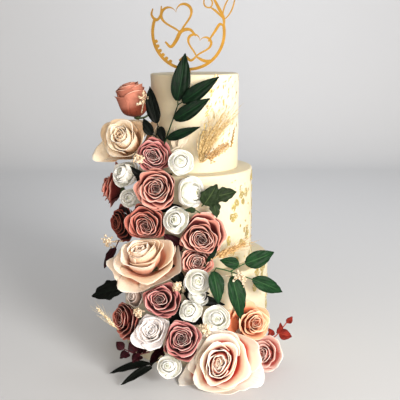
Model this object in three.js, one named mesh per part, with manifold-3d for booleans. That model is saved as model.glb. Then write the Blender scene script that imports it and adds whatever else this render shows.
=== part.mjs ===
// Three-tier wedding cake: ivory iced tiers with flakes of gold leaf, a cascade
// of fabric roses with leaves, dried grass and small sprays down its front left,
// and a round gold topper.
// Millimetres, +Z up. The origin is the centre of the bottom tier's flat base,
// and the front of the cake faces -Y.

import * as THREE from "three";
import { mergeVertices } from "three/addons/utils/BufferGeometryUtils.js";
import Module from "manifold-3d";

const wasm = await Module();
wasm.setup();

// ---------------------------------------------------------------- dimensions

const TIER_HEIGHT = 155;
const TIER_RADII = [125, 96, 72]; // bottom, middle, top
const TIER_SIDES = 36;
const RIM_SOFT = 2; // how far the iced top edge is softened
const CAKE_TOP = TIER_RADII.length * TIER_HEIGHT;
const GAP = 0.3; // left between touching pieces
const FLAKE_RISE = 0.5; // gold leaf stands this proud of the icing
const COAT_RISE = 1.3; // the torn second coat on the top tier

const LEAF_THICK = 0.9;
const STEM_RADIUS = 1.1;
const PICK_RADIUS = 2.4; // the wired stem behind a bloom

const TOPPER_RADIUS = 60.5; // outside of the ring
const TOPPER_BAND = 4.8;
const TOPPER_THICK = 3;
const TOPPER_CENTRE = { x: -9, z: 529 };
const STAKE = { width: 6, depth: 45 }; // depth below the icing

// ------------------------------------------------------------------- finishes

const finish = (color, roughness, metalness = 0) =>
  new THREE.MeshStandardMaterial({ color, roughness, metalness });

const ICING = finish("#f6f0d6", 0.6);
const GOLD = finish("#b08d4c", 0.3, 1);
const WHITE_PETAL = finish("#f3f1ea", 0.8);
const CREAM_PETAL = finish("#e8cba8", 0.8);
const SALMON_PETAL = finish("#c0806e", 0.8);
const TERRACOTTA_PETAL = finish("#a45f4f", 0.8);
const MAUVE_PETAL = finish("#a36b69", 0.8);
const APRICOT_PETAL = finish("#dba081", 0.8);
const GREIGE_PETAL = finish("#b9aaa2", 0.8);
const GREEN_LEAF = finish("#33563a", 0.5);
const DARK_LEAF = finish("#16241c", 0.5);
const BURGUNDY_LEAF = finish("#4a1a20", 0.6);
const RED_BUD = finish("#8d2c22", 0.6);
const PALE_LEAF = finish("#e6dccb", 0.7);
const STRAW = finish("#cfae74", 0.8);
const SEED_HEAD = finish("#d9bd94", 0.8);

// ---------------------------------------------------------------- directions

const radians = THREE.MathUtils.degToRad;
const at = (x, y, z) => new THREE.Vector3(x, y, z);

// A point given by its azimuth in degrees (0 is +X, -90 is the front), its
// distance from the cake's axis and its height.
function around(azimuth, reach, height) {
  const a = radians(azimuth);
  return at(reach * Math.cos(a), reach * Math.sin(a), height);
}

// The unit vector that faces an azimuth and an elevation, both in degrees.
function facing(azimuth, elevation) {
  const e = radians(elevation);
  return around(azimuth, Math.cos(e), Math.sin(e));
}

// Two unit vectors u and v square to w, with u x v = w.
function squareTo(w) {
  const hint = Math.abs(w.z) > 0.9 ? at(0, 1, 0) : at(0, 0, 1);
  const u = hint.clone().cross(w).normalize();
  return [u, w.clone().cross(u)];
}

// A repeatable stream of random numbers from 0 to 1.
function seeded(seed) {
  let state = seed;
  return () => {
    state = (state * 1664525 + 1013904223) % 4294967296;
    return state / 4294967296;
  };
}

// -------------------------------------------------------------- solid making

function solidOf(geometry) {
  geometry.deleteAttribute("normal");
  geometry.deleteAttribute("uv");
  const merged = mergeVertices(geometry, 1e-4);
  return new wasm.Manifold(new wasm.Mesh({
    numProp: 3,
    vertProperties: new Float32Array(merged.attributes.position.array),
    triVerts: new Uint32Array(merged.index.array),
  }));
}

function meshOf(name, solid, material) {
  const { vertProperties, triVerts } = solid.getMesh();
  const geometry = new THREE.BufferGeometry();
  geometry.setAttribute("position", new THREE.BufferAttribute(vertProperties, 3));
  geometry.setIndex(new THREE.BufferAttribute(triVerts, 1));
  geometry.computeVertexNormals();
  const mesh = new THREE.Mesh(geometry, material);
  mesh.name = name;
  return mesh;
}

// Skins a row of closed rings, each with as many points, and closes it with a
// point at each end. The rings turn anticlockwise seen from the first end. On a
// thin piece the second half of each ring is its back, and mirrored splits the
// back into the same triangles as the front.
function skin(first, rings, last, mirrored = false) {
  const count = rings[0].length;
  const points = [first, ...rings.flat(), last];
  const corner = (ring, k) => 1 + ring * count + (k % count);
  const faces = [];
  for (let k = 0; k < count; k++) {
    faces.push(0, corner(0, k), corner(0, k + 1));
    faces.push(points.length - 1, corner(rings.length - 1, k + 1), corner(rings.length - 1, k));
  }
  for (let ring = 0; ring + 1 < rings.length; ring++) {
    for (let k = 0; k < count; k++) {
      const [a, b] = [corner(ring, k), corner(ring + 1, k)];
      const [c, d] = [corner(ring + 1, k + 1), corner(ring, k + 1)];
      if (mirrored && k >= count / 2) faces.push(a, b, d, b, c, d);
      else faces.push(a, b, c, a, c, d);
    }
  }
  const geometry = new THREE.BufferGeometry().setFromPoints(points);
  geometry.setIndex(faces);
  return solidOf(geometry);
}

const union = (solids) => wasm.Manifold.union(solids);

// The largest separate body of a solid: what a cut leaves loose is dropped.
function largest(solid) {
  const bodies = solid.decompose();
  return bodies.reduce((best, body) => (body.volume() > best.volume() ? body : best));
}

function near(a, b) {
  const [p, q] = [a.boundingBox(), b.boundingBox()];
  return [0, 1, 2].every((i) => p.min[i] < q.max[i] && q.min[i] < p.max[i]);
}

// A rod with few sides along a smooth line through the points, which narrows to
// a share of its radius at the far end.
function rod(points, radius, { sides = 4, steps = 2 * points.length - 3, narrow = 1 } = {}) {
  const line = points.length > 2
    ? new THREE.CatmullRomCurve3(points)
    : new THREE.LineCurve3(...points);
  const rings = [];
  for (let i = 0; i <= steps; i++) {
    const share = i / steps;
    const reach = radius * (1 + (narrow - 1) * share);
    const [u, v] = squareTo(line.getTangentAt(share).negate());
    rings.push(Array.from({ length: sides }, (_, k) => {
      const a = (k / sides) * 2 * Math.PI;
      return line.getPointAt(share)
        .addScaledVector(u, reach * Math.cos(a))
        .addScaledVector(v, reach * Math.sin(a));
    }));
  }
  return skin(points[0], rings, points[points.length - 1]);
}

// ---------------------------------------------------------------------- tiers

// A tier as it is iced: straight sides and a slightly softened top edge.
function tierBody(index) {
  const radius = TIER_RADII[index];
  const low = index * TIER_HEIGHT;
  const high = low + TIER_HEIGHT - GAP;
  const profile = [new THREE.Vector2(0, low), new THREE.Vector2(radius, low)];
  profile.push(new THREE.Vector2(radius, high - RIM_SOFT));
  profile.push(new THREE.Vector2(radius - RIM_SOFT, high));
  profile.push(new THREE.Vector2(0, high));
  return solidOf(new THREE.LatheGeometry(profile, TIER_SIDES)).rotate([90, 0, 0]);
}

// The room that the tiers and what is laid on them take up.
function tierRoom(index) {
  const rise = index === TIER_RADII.length - 1 ? 1.25 * COAT_RISE : FLAKE_RISE;
  const radius = TIER_RADII[index] + rise + 0.4;
  const room = new THREE.CylinderGeometry(radius, radius, TIER_HEIGHT, TIER_SIDES);
  room.rotateX(Math.PI / 2);
  room.translate(0, 0, (index + 0.5) * TIER_HEIGHT);
  return solidOf(room);
}

// Gold leaf is laid on in torn flakes, from the edge of the flowers round to the
// back.
const FLAKE_FIELDS = [
  { from: -42, to: 190, rows: 3, columns: 6, seed: 11 },
  { from: -66, to: 160, rows: 4, columns: 5, seed: 23 },
  { from: 40, to: 180, rows: 2, columns: 3, seed: 37 },
];

function flake(tier, azimuth, height, random) {
  const sides = 4;
  const size = 3.4 + 2.4 * random();
  const outline = new THREE.Shape(Array.from({ length: sides }, (_, k) => {
    const a = (k / sides) * 2 * Math.PI;
    const reach = size * (0.6 + 0.6 * random());
    return new THREE.Vector2(reach * Math.cos(a), 1.3 * reach * Math.sin(a));
  }));
  const sunk = 1;
  const leaf = new THREE.ExtrudeGeometry(outline, { depth: sunk + FLAKE_RISE, bevelEnabled: false });
  leaf.applyMatrix4(new THREE.Matrix4().makeBasis(at(0, 1, 0), at(0, 0, 1), at(1, 0, 0)));
  leaf.translate(TIER_RADII[tier] - sunk, 0, height);
  leaf.rotateZ(radians(azimuth));
  return solidOf(leaf);
}

function flakes(tier) {
  const { from, to, rows, columns, seed } = FLAKE_FIELDS[tier];
  const random = seeded(seed);
  const laid = [];
  for (let row = 0; row < rows; row++) {
    for (let column = 0; column < columns; column++) {
      const across = (column + 0.15 + 0.7 * random()) / columns;
      const up = (row + 0.2 + 0.6 * random()) / rows;
      const height = TIER_HEIGHT * (tier + 0.05 + 0.9 * up);
      laid.push(flake(tier, from + (to - from) * across, height, random));
    }
  }
  return laid;
}

// The right side of the top tier carries a second coat of icing, trowelled on
// in a sheet with a torn edge.
const COAT = { from: -84, lean: 16, to: 30, low: 352, columns: 9, rows: 5, seed: 5 };

function tornCoat() {
  const { from, lean, to, low, columns, rows } = COAT;
  const random = seeded(COAT.seed);
  const high = CAKE_TOP - RIM_SOFT - 1;
  const rings = [];
  for (let row = 0; row <= rows; row++) {
    const height = low + (high - low) * (row / rows);
    const start = from + lean * (row / rows) + 7 * random();
    const end = to - 9 * random();
    const outside = [];
    for (let k = 0; k <= columns; k++) {
      const edge = Math.min(k, columns - k);
      const rise = COAT_RISE * Math.min(1, 0.4 + 0.6 * edge) * (0.7 + 0.5 * random());
      outside.push(around(start + (end - start) * (k / columns), TIER_RADII[2] + rise, height));
    }
    const inside = outside.map((p) => p.clone().multiply(at(0.95, 0.95, 1)));
    rings.push([...inside, ...outside.reverse()]);
  }
  const middle = (ring) =>
    ring.reduce((sum, p) => sum.add(p), at(0, 0, 0)).divideScalar(ring.length);
  return skin(middle(rings[0]), rings, middle(rings[rows]));
}

// ------------------------------------------------------------------- the plan

// Each bloom: its centre in x, y and z, its radius, the azimuth and elevation
// that it faces, its form and its colour.
const BLOOMS = [
  ["rose_salmon_bud", -100, -25, 419, 24, -170, 74, "bud", SALMON_PETAL],
  ["rose_cream_upper", -109, -45, 357, 45, -117, 34, "open", CREAM_PETAL],
  ["rose_mauve_upper", -63, -85, 341, 26, -90, 14, "rose", MAUVE_PETAL],
  ["ranunculus_white_1", -21, -105, 333, 20.5, -80, 18, "button", WHITE_PETAL],
  ["rose_white_upper", -110, -62, 309, 26, -130, 20, "button", WHITE_PETAL],
  ["rose_white_small", -103, -72, 271, 17, -108, 12, "button", WHITE_PETAL],
  ["rose_salmon_upper", -58, -112, 294, 32, -102, 12, "rose", SALMON_PETAL],
  ["ranunculus_white_2", -9, -112, 289, 25.5, -44, 10, "button", WHITE_PETAL],
  ["rose_terracotta_side", -135, -22, 275, 29, 174, 8, "rose", TERRACOTTA_PETAL],
  ["rose_russet", -116, -54, 224, 27, -140, 8, "rose", TERRACOTTA_PETAL],
  ["rose_terracotta_middle", -75, -105, 237, 30, -96, 11, "rose", TERRACOTTA_PETAL],
  ["ranunculus_white_3", -27, -120, 247, 21.5, -107, 14, "button", WHITE_PETAL],
  ["rose_salmon_middle", 9, -118, 220, 34, -88, 6, "rose", SALMON_PETAL],
  ["rose_peach_middle", -75, -128, 180, 53, -102, 52, "open", CREAM_PETAL],
  ["rose_pink_small", 1, -120, 180, 24, -84, 0, "rose", SALMON_PETAL],
  ["ranunculus_white_4", 2, -142, 154, 22, -82, 20, "button", WHITE_PETAL],
  ["rose_mauve_middle", -51, -145, 125, 29, -98, 27, "rose", MAUVE_PETAL],
  ["blossom_white", 3, -138, 127, 17.5, -60, 42, "button", WHITE_PETAL],
  ["ranunculus_white_5", -8, -150, 110, 19, -92, 18, "button", WHITE_PETAL],
  ["ranunculus_white_6", 32, -152, 98, 22, -86, 16, "button", WHITE_PETAL],
  ["blossom_greige", -95, -120, 120, 17, -130, 20, "button", GREIGE_PETAL],
  ["rose_terracotta_lower", -108, -125, 84, 29, -142, 15, "rose", TERRACOTTA_PETAL],
  ["peony_white", -67, -158, 79, 28.5, -108, 42, "rose", WHITE_PETAL],
  ["rose_mauve_lower", -21, -172, 70, 29.5, -92, 28, "rose", MAUVE_PETAL],
  ["rose_white_lower", -40, -182, 32, 18.5, -98, 26, "button", WHITE_PETAL],
  ["rose_cream_lower", 40, -168, 31, 53, -98, 30, "open", CREAM_PETAL],
  ["rose_apricot", 86, -118, 71, 32, -64, 24, "rose", APRICOT_PETAL],
  ["rose_pink_lower", 113, -132, 28, 27, -128, 22, "rose", MAUVE_PETAL],
].map(([name, x, y, z, radius, azimuth, elevation, form, material]) =>
  ({ name, centre: at(x, y, z), radius, axis: facing(azimuth, elevation), form, material }));

// Each sprig: its stems as lines of points, and its leaves from base to tip
// with their widths. Ivy leaves have a toothed edge.
const SPRIGS = [
  {
    name: "ruscus_upper", material: GREEN_LEAF, front: facing(-80, 10),
    stems: [[at(-47, -90, 360), at(-36, -87, 390), at(-25, -84, 420)]],
    leaves: [
      [at(-26, -83, 426), at(-13, -80, 497), 29],
      [at(-18, -88, 424), at(38, -88, 462), 23],
      [at(-30, -92, 398), at(24, -92, 430), 23],
      [at(-42, -93, 369), at(9, -93, 387), 15],
    ],
  },
  {
    name: "dark_sprig_upper", material: DARK_LEAF, front: facing(-110, 5),
    stems: [[at(-62, -74, 366), at(-59, -75, 376), at(-57, -75, 386)]],
    leaves: [
      [at(-58, -74, 391), at(-69, -62, 447), 23],
      [at(-53, -78, 386), at(-46, -86, 362), 15],
      [at(-66, -72, 372), at(-80, -66, 398), 17],
    ],
  },
  {
    name: "ivy_middle", material: GREEN_LEAF, front: facing(-70, 15), teeth: 0.16,
    stems: [[at(10, -112, 266), at(26, -110, 279)]],
    leaves: [
      [at(14, -117, 270), at(34, -117, 302), 34],
      [at(30, -107, 280), at(65, -98, 286), 25],
      [at(27, -112, 275), at(34, -118, 249), 20],
    ],
  },
  {
    name: "ruscus_lower", material: GREEN_LEAF, front: facing(-70, 15),
    stems: [
      [at(32, -142, 176), at(54, -136, 168), at(88, -118, 149)],
      [at(54, -136, 168), at(74, -124, 175)],
    ],
    leaves: [
      [at(68, -126, 176), at(38, -128, 184), 18],
      [at(78, -122, 176), at(124, -108, 190), 27],
      [at(90, -116, 148), at(140, -100, 120), 24],
      [at(56, -142, 162), at(70, -149, 94), 28],
      [at(27, -152, 174), at(35, -165, 126), 25],
    ],
  },
  {
    name: "dark_leaf_left", material: DARK_LEAF, front: facing(-110, 35), teeth: 0.14,
    stems: [[at(-104, -106, 138), at(-110, -109, 136)]],
    leaves: [[at(-114, -111, 134), at(-168, -100, 114), 34]],
  },
  {
    name: "dark_sprig_lower", material: DARK_LEAF, front: facing(-110, 60),
    stems: [[at(-56, -156, 32), at(-66, -166, 30)]],
    leaves: [
      [at(-72, -166, 29), at(-137, -150, 3), 15],
      [at(-68, -172, 26), at(-115, -187, 3), 15],
    ],
  },
  {
    name: "burgundy_leaf_left", material: BURGUNDY_LEAF, front: facing(-130, 10), teeth: 0.12,
    stems: [[at(-122, -88, 206), at(-126, -93, 198)]],
    leaves: [[at(-127, -95, 194), at(-146, -100, 162), 18]],
  },
  {
    name: "burgundy_leaf_middle", material: BURGUNDY_LEAF, front: facing(-90, 15),
    stems: [[at(-14, -103, 182), at(-20, -105, 190)]],
    leaves: [[at(-22, -106, 193), at(-50, -110, 222), 26]],
  },
  {
    name: "burgundy_sprig", material: BURGUNDY_LEAF, front: facing(-110, 45),
    stems: [[at(-72, -152, 42), at(-90, -160, 42), at(-110, -160, 50)]],
    leaves: [
      [at(-86, -164, 42), at(-97, -179, 38), 18],
      [at(-94, -157, 44), at(-102, -152, 62), 17],
      [at(-104, -164, 46), at(-116, -176, 43), 16],
      [at(-112, -160, 51), at(-124, -154, 60), 14],
    ],
  },
  {
    name: "red_bud_sprig", material: RED_BUD, front: facing(-60, 20),
    stems: [[at(112, -102, 32), at(130, -103, 44), at(148, -97, 64)]],
    leaves: [
      [at(122, -105, 42), at(118, -112, 62), 16],
      [at(134, -104, 50), at(137, -109, 70), 13],
      [at(136, -101, 48), at(157, -103, 43), 18],
      [at(149, -97, 65), at(158, -95, 75), 11],
    ],
  },
  {
    name: "bleached_leaves", material: PALE_LEAF, front: facing(-75, 10),
    stems: [[at(-36, -92, 350), at(-29, -93, 355)]],
    leaves: [
      [at(-32, -88, 354), at(-30, -76, 386), 13],
      [at(-24, -91, 354), at(-8, -79, 386), 14],
    ],
  },
  {
    name: "ivy_small", material: GREEN_LEAF, front: facing(-80, 20), teeth: 0.12,
    stems: [[at(8, -119, 257), at(3, -123, 262)]],
    leaves: [[at(1, -125, 263), at(-16, -134, 266), 10]],
  },
  {
    name: "narrow_leaf", material: GREEN_LEAF, front: facing(-60, 20),
    stems: [[at(14, -136, 176), at(17, -136, 181)]],
    leaves: [[at(18, -136, 184), at(35, -130, 207), 8]],
  },
];

// The greenery behind the blooms: short stems that lie along the tiers, with
// dark leaves that fill what the heads leave open.
const BACKINGS = [
  {
    name: "backing_leaves_upper", material: DARK_LEAF, front: facing(-120, 8), coarse: 2,
    stems: [[at(-60, -81, 300), at(-63, -79, 272), at(-58, -82, 244)]],
    leaves: [
      [at(-61, -84, 298), at(-34, -104, 316), 20],
      [at(-65, -81, 292), at(-95, -60, 304), 24],
      [at(-60, -86, 266), at(-28, -108, 264), 24],
      [at(-62, -84, 252), at(-88, -66, 256), 22],
    ],
  },
  {
    name: "backing_leaves_middle", material: DARK_LEAF, front: facing(-100, 8), coarse: 2,
    stems: [[at(-20, -127, 150), at(-24, -127, 120), at(-20, -128, 88)]],
    leaves: [
      [at(-22, -130, 148), at(-40, -130, 182), 22],
      [at(-26, -131, 112), at(-54, -124, 98), 24],
      [at(-20, -131, 102), at(14, -138, 82), 24],
    ],
  },
  {
    name: "backing_leaves_lower", material: BURGUNDY_LEAF, front: facing(-122, 10), coarse: 2,
    stems: [[at(-66, -110, 104), at(-66, -110, 80), at(-69, -108, 48)]],
    leaves: [
      [at(-67, -113, 94), at(-68, -124, 126), 20],
      [at(-69, -111, 64), at(-108, -98, 42), 26],
      [at(-69, -111, 54), at(-50, -132, 24), 26],
    ],
  },
];

// ----------------------------------------------------------------- the blooms

// A bloom's petals as rings from its heart out to its back: the radius and the
// height above its centre, as shares of its radius. A lip is the edge of a
// whorl of petals, and the next ring is the fold behind it.
const FORMS = {
  rose: {
    petals: 5, perPetal: 3, heart: 0.44,
    rings: [[0.28, 0.6, 1], [0.58, 0.44, 1], [0.68, 0.18, 0],
      [1, 0.14, 1], [0.82, -0.22, 0], [0.36, -0.52, 0]],
  },
  open: {
    petals: 5, perPetal: 3, heart: 0.46,
    rings: [[0.18, 0.6, 1], [0.42, 0.5, 1], [0.48, 0.24, 0],
      [0.66, 0.32, 1], [0.72, 0.02, 0], [1, 0.1, 1], [0.72, -0.24, 0], [0.3, -0.46, 0]],
  },
  button: {
    petals: 5, perPetal: 2, heart: 0.5,
    rings: [[0.26, 0.56, 1], [0.56, 0.5, 1], [0.66, 0.28, 0], [1, 0.1, 1], [0.5, -0.5, 0]],
  },
  bud: {
    petals: 5, perPetal: 3, heart: 1.08,
    rings: [[0.22, 1.22, 1], [0.34, 1.04, 0], [0.6, 1.12, 1],
      [0.74, 0.7, 0], [1, 0.3, 1], [0.88, -0.5, 0], [0.34, -0.94, 0]],
  },
};
const LIP_REACH = 1.08; // how far a petal's free corner stands out
const LIP_SEAM = 0.93; // and where it tucks under the next petal

function bloomHead({ name, centre, radius, axis, form }) {
  const { petals, perPetal, heart, rings } = FORMS[form];
  const random = seeded(name.length * 7919 + Math.round(1000 + centre.x * 31 + centre.z));
  const count = petals * perPetal;
  const [u, v] = squareTo(axis);
  const point = (reach, height, turn) => centre.clone()
    .addScaledVector(axis, radius * height)
    .addScaledVector(u, radius * reach * Math.cos(turn))
    .addScaledVector(v, radius * reach * Math.sin(turn));
  const drawn = rings.map(([reach, height, lip], ring) => {
    const shift = ring * 0.9;
    return Array.from({ length: count }, (_, k) => {
      const turn = (k / count) * 2 * Math.PI + shift / petals;
      const share = (k % perPetal) / (perPetal - 1);
      const ragged = lip * 0.05 * (random() - 0.5);
      const spread = lip ? LIP_SEAM + (LIP_REACH - LIP_SEAM) * share + ragged : 0.97;
      return point(reach * spread, height + lip * 0.06 * (share - 0.5) + ragged, turn);
    });
  });
  const tip = stemTip(centre, radius, axis);
  return skin(point(0, heart, 0), drawn, tip);
}

// Where a bloom's stem meets the icing: level with its centre and straight in
// towards the cake's axis.
function stemTip(centre, radius, axis) {
  const tier = Math.min(TIER_RADII.length - 1, Math.floor(centre.z / TIER_HEIGHT));
  const back = centre.clone().addScaledVector(axis, -0.7 * radius);
  const reach = Math.hypot(back.x, back.y);
  const surface = TIER_RADII[tier] + 1;
  return reach > surface
    ? at(back.x * surface / reach, back.y * surface / reach, Math.max(back.z, 2 * PICK_RADIUS))
    : back;
}

// A plain round envelope that holds the whole of a bloom with room to spare.
function bloomRoom({ centre, radius, axis, form }) {
  const sides = 10;
  const tall = form === "bud" ? 1.85 : 1;
  const wide = LIP_REACH * 1.07;
  const [u, v] = squareTo(axis);
  const outline = [[0.5, 0.7], [0.85, 0.55], [wide, 0.2], [0.95, -0.35], [0.45, -0.62]];
  const rings = outline.map(([reach, height]) => Array.from({ length: sides }, (_, k) => {
    const turn = (k / sides) * 2 * Math.PI;
    return centre.clone()
      .addScaledVector(axis, radius * height * tall)
      .addScaledVector(u, radius * reach * Math.cos(turn))
      .addScaledVector(v, radius * reach * Math.sin(turn));
  }));
  const end = (height) => centre.clone().addScaledVector(axis, radius * height * tall);
  return skin(end(0.72), rings, end(-0.66));
}

// The room round a bloom's stem, which the greenery behind the blooms keeps clear of.
function neckRoom({ centre, radius, axis }) {
  const back = centre.clone().addScaledVector(axis, -0.5 * radius);
  const beyond = stemTip(centre, radius, axis).lerp(back, -0.04);
  return rod([back, beyond], 0.56 * radius, { sides: 6, steps: 1, narrow: 0.12 });
}

// How far a bloom reaches from its centre along a direction.
function reachOf({ radius, axis, form }, direction) {
  const along = direction.dot(axis);
  const depth = form === "bud" ? 1.25 : 0.62;
  return radius * Math.hypot(LIP_REACH * Math.sqrt(1 - along * along), depth * along);
}

// Pressed blooms meet on a flat between their centres. Each gives way in
// proportion to its size.
function pressedApart(solid, bloom) {
  let cut = solid;
  for (const other of BLOOMS) {
    if (other === bloom) continue;
    const between = other.centre.clone().sub(bloom.centre);
    const distance = between.length();
    between.divideScalar(distance);
    const [mine, theirs] = [reachOf(bloom, between), reachOf(other, between)];
    if (mine + theirs < distance - GAP) continue;
    const share = distance * mine / (mine + theirs) - GAP / 2;
    const limit = between.dot(bloom.centre) + share;
    cut = cut.trimByPlane([-between.x, -between.y, -between.z], -limit);
  }
  return cut;
}

// ----------------------------------------------------------------- the leaves

// A thin leaf on its stalk, folded along its midrib and arched from base to tip.
// The room that it takes is the same leaf grown on every side.
function leaf(joint, [base, tip, width], { front, teeth, coarse }, grow) {
  const along = tip.clone().sub(base);
  const length = along.length();
  along.normalize();
  const side = along.clone().cross(front).normalize();
  const up = side.clone().cross(along);
  const point = (share, across, lift) => {
    const arch = 0.28 * length * share * (1 - share);
    const ripple = across ? 0.22 * Math.abs(across) + 0.05 * width * Math.sin(7 * share + across) : 0;
    return base.clone()
      .addScaledVector(along, length * share)
      .addScaledVector(side, across)
      .addScaledVector(up, arch + ripple + lift);
  };
  const ring = (share, half, thick, edge) => [
    point(share, half, edge), point(share, 0, thick), point(share, -half, edge),
    point(share, -half, -edge), point(share, 0, -thick), point(share, half, -edge),
  ];
  const stalk = 0.9 + grow;
  const rings = [ring(0, stalk, stalk, 0.6 * stalk)];
  const rows = teeth ? 6 : coarse ?? 3;
  for (let row = 0; row < rows; row++) {
    const share = (row + 0.6) / (rows + 0.1);
    const notch = teeth && row % 2 ? 1 - teeth : 1;
    const half = (width / 2) * Math.sin(Math.PI * share ** 0.68) ** 0.85 * notch + grow;
    rings.push(ring(share, half, LEAF_THICK / 2 + grow, LEAF_THICK / 3 + grow));
  }
  const stalkLine = base.clone().sub(joint);
  if (stalkLine.length() < STEM_RADIUS) stalkLine.copy(along);
  const root = joint.clone().addScaledVector(stalkLine.normalize(), -1.5 * STEM_RADIUS);
  return skin(root, rings, point(1 + grow / length, 0, 0), true);
}

// The point of a sprig's stems that is closest to a place.
function onStem(stems, place) {
  const points = stems.flatMap((line) => new THREE.CatmullRomCurve3(line).getPoints(24));
  return points.reduce((best, p) => (p.distanceTo(place) < best.distanceTo(place) ? p : best));
}

function sprig(shape, grow = 0) {
  const { stems, leaves } = shape;
  return union([
    ...stems.map((line) => rod(line, STEM_RADIUS + grow, { sides: 3 })),
    ...leaves.map((spec) => leaf(onStem(stems, spec[0]), spec, shape, grow)),
  ]);
}

// -------------------------------------------------- sprays, grass and seedheads

// A spray of tiny dried flowers: a short stem with a hub at its end, and florets
// on thin stalks all round the hub.
const SPRAYS = [
  ["dried_spray_1", at(-84, -52, 405), at(-79, -60, 424), 14, 4, 3],
  ["dried_spray_2", at(-88, -100, 334), at(-86, -110, 340), 10, 3, 8],
  ["dried_spray_3", at(-118, -76, 200), at(-138, -78, 200), 13, 4, 12],
  ["dried_spray_4", at(-28, -134, 148), at(-28, -152, 150), 9, 3, 17],
  ["dried_spray_5", at(-90, -128, 104), at(-88, -148, 106), 9, 3, 21],
  ["dried_spray_6", at(4, -160, 88), at(14, -178, 92), 11, 4, 28],
  ["dried_spray_7", at(48, -132, 160), at(66, -142, 160), 12, 4, 33],
];
const FLORET_RADIUS = 2.6;
const FLORET_SIDES = 3;

// A floret on a thin stalk.
function floretOn(start, end, size, grow) {
  const along = end.clone().sub(start).normalize();
  const [u, v] = squareTo(along.clone().negate());
  const ring = (centre, reach) => Array.from({ length: FLORET_SIDES }, (_, k) => {
    const a = (k / FLORET_SIDES) * 2 * Math.PI;
    return centre.clone()
      .addScaledVector(u, (reach + grow) * Math.cos(a))
      .addScaledVector(v, (reach + grow) * Math.sin(a));
  });
  const neck = end.clone().addScaledVector(along, -size);
  const crown = end.clone().addScaledVector(along, size + grow);
  return skin(start, [ring(start, 0.7), ring(neck, 0.7), ring(end, size)], crown);
}

function spray(root, middle, spread, count, seed, grow = 0) {
  const random = seeded(seed);
  const parts = [rod([root, middle], 1.4 + grow, { sides: 3, steps: 1 })];
  for (let i = 0; i < count; i++) {
    const turn = 360 * (i / count) + 30 * random();
    const offset = facing(turn, i % 2 ? 40 : -25).multiplyScalar(spread * (0.65 + 0.35 * random()));
    const size = FLORET_RADIUS * (0.8 + 0.4 * random());
    parts.push(floretOn(middle, middle.clone().add(offset), size, grow));
  }
  return union(parts);
}

// A plume of dried grass: a flat sheaf that opens into separate strands, whose
// tips lie on an arc.
const GRASS = {
  name: "golden_grass", root: at(8, -100, 334), strands: 8, sheaf: 0.34,
  tips: [at(14, -94, 392), at(32, -90, 408), at(50, -84, 414), at(66, -76, 412), at(72, -76, 396)],
};

function grass({ root, tips, strands, sheaf }, grow = 0) {
  const random = seeded(71);
  const arc = new THREE.CatmullRomCurve3(tips);
  const outlet = (share, lift) => root.clone().lerp(arc.getPoint(share), sheaf).add(at(0, lift, 0));
  const half = [0, 0.35, 0.7, 1];
  const mouth = [...half.map((share) => outlet(share, 2 + grow)),
    ...half.reverse().map((share) => outlet(share, -2 - grow))];
  const foot = mouth.map((p) => root.clone().lerp(p, 0.15));
  const parts = [skin(root, [foot, mouth], outlet(0.5, 0))];
  for (let i = 0; i < strands; i++) {
    const share = (i + 0.5) / strands;
    const start = root.clone().lerp(outlet(share, 0), 0.9);
    const tip = arc.getPoint(share).lerp(start, 0.25 * random());
    parts.push(rod([start, tip], 1.5 + grow, { sides: 3, steps: 1, narrow: 0.3 }));
  }
  return union(parts);
}

// A seedhead: grains set round a stalk in a spiral, with or without long awns.
const SEEDHEADS = [
  {
    name: "gold_seedhead", material: SEED_HEAD, root: at(12, -116, 336), tip: at(52, -104, 362),
    grains: 7, size: 6.4, spread: 4.6, awns: 0,
  },
  {
    name: "wheat_ear", material: STRAW, root: at(24, -136, 188), tip: at(78, -110, 205),
    grains: 6, size: 6, spread: 4.4, awns: 3,
  },
  {
    name: "pale_wheat", material: PALE_LEAF, root: at(-122, -136, 72), tip: at(-156, -128, 106),
    grains: 5, size: 5.6, spread: 4, awns: 2,
  },
  {
    name: "gold_twig", material: GOLD, root: at(56, -98, 356), tip: at(62, -88, 384),
    grains: 4, size: 4, spread: 3.6, awns: 0,
  },
];

function seedhead({ root, tip, grains, size, spread, awns }, grow = 0) {
  const along = tip.clone().sub(root).normalize();
  const [u, v] = squareTo(along);
  const outward = (turn) =>
    u.clone().multiplyScalar(Math.cos(turn)).addScaledVector(v, Math.sin(turn));
  const parts = [rod([root, tip], 1.3 + grow, { sides: 3, steps: 1, narrow: 0.6 })];
  for (let i = 0; i < grains; i++) {
    const place = root.clone().lerp(tip, 0.25 + 0.75 * (i / (grains - 1)));
    const away = outward(i * 2.4);
    const taper = 1 - 0.45 * (i / grains);
    place.addScaledVector(away, spread * 0.6 * taper);
    const grain = new THREE.OctahedronGeometry(size * taper * 0.5 + grow, 0);
    grain.scale(0.8, 0.8, 1.7);
    grain.applyQuaternion(new THREE.Quaternion().setFromUnitVectors(
      at(0, 0, 1), along.clone().addScaledVector(away, 0.45).normalize()));
    grain.translate(place.x, place.y, place.z);
    parts.push(solidOf(grain));
  }
  for (let i = 0; i < awns; i++) {
    const end = tip.clone().addScaledVector(along, 14).addScaledVector(outward(i * 1.7), 9);
    parts.push(rod([root.clone().lerp(tip, 0.6), end], 0.6 + grow, { sides: 3, steps: 1 }));
  }
  return union(parts);
}

// ------------------------------------------------------------------ the topper

// The topper is cut from flat sheet. Its outline is drawn round the ring's
// centre with x to the right and y up.

function cutFromSheet(shape) {
  const plate = new THREE.ExtrudeGeometry(shape, { depth: TOPPER_THICK, bevelEnabled: false });
  plate.translate(0, 0, -TOPPER_THICK / 2);
  plate.applyMatrix4(new THREE.Matrix4().makeBasis(at(1, 0, 0), at(0, 0, 1), at(0, -1, 0)));
  plate.translate(TOPPER_CENTRE.x, 0, TOPPER_CENTRE.z);
  return solidOf(plate);
}

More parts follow.
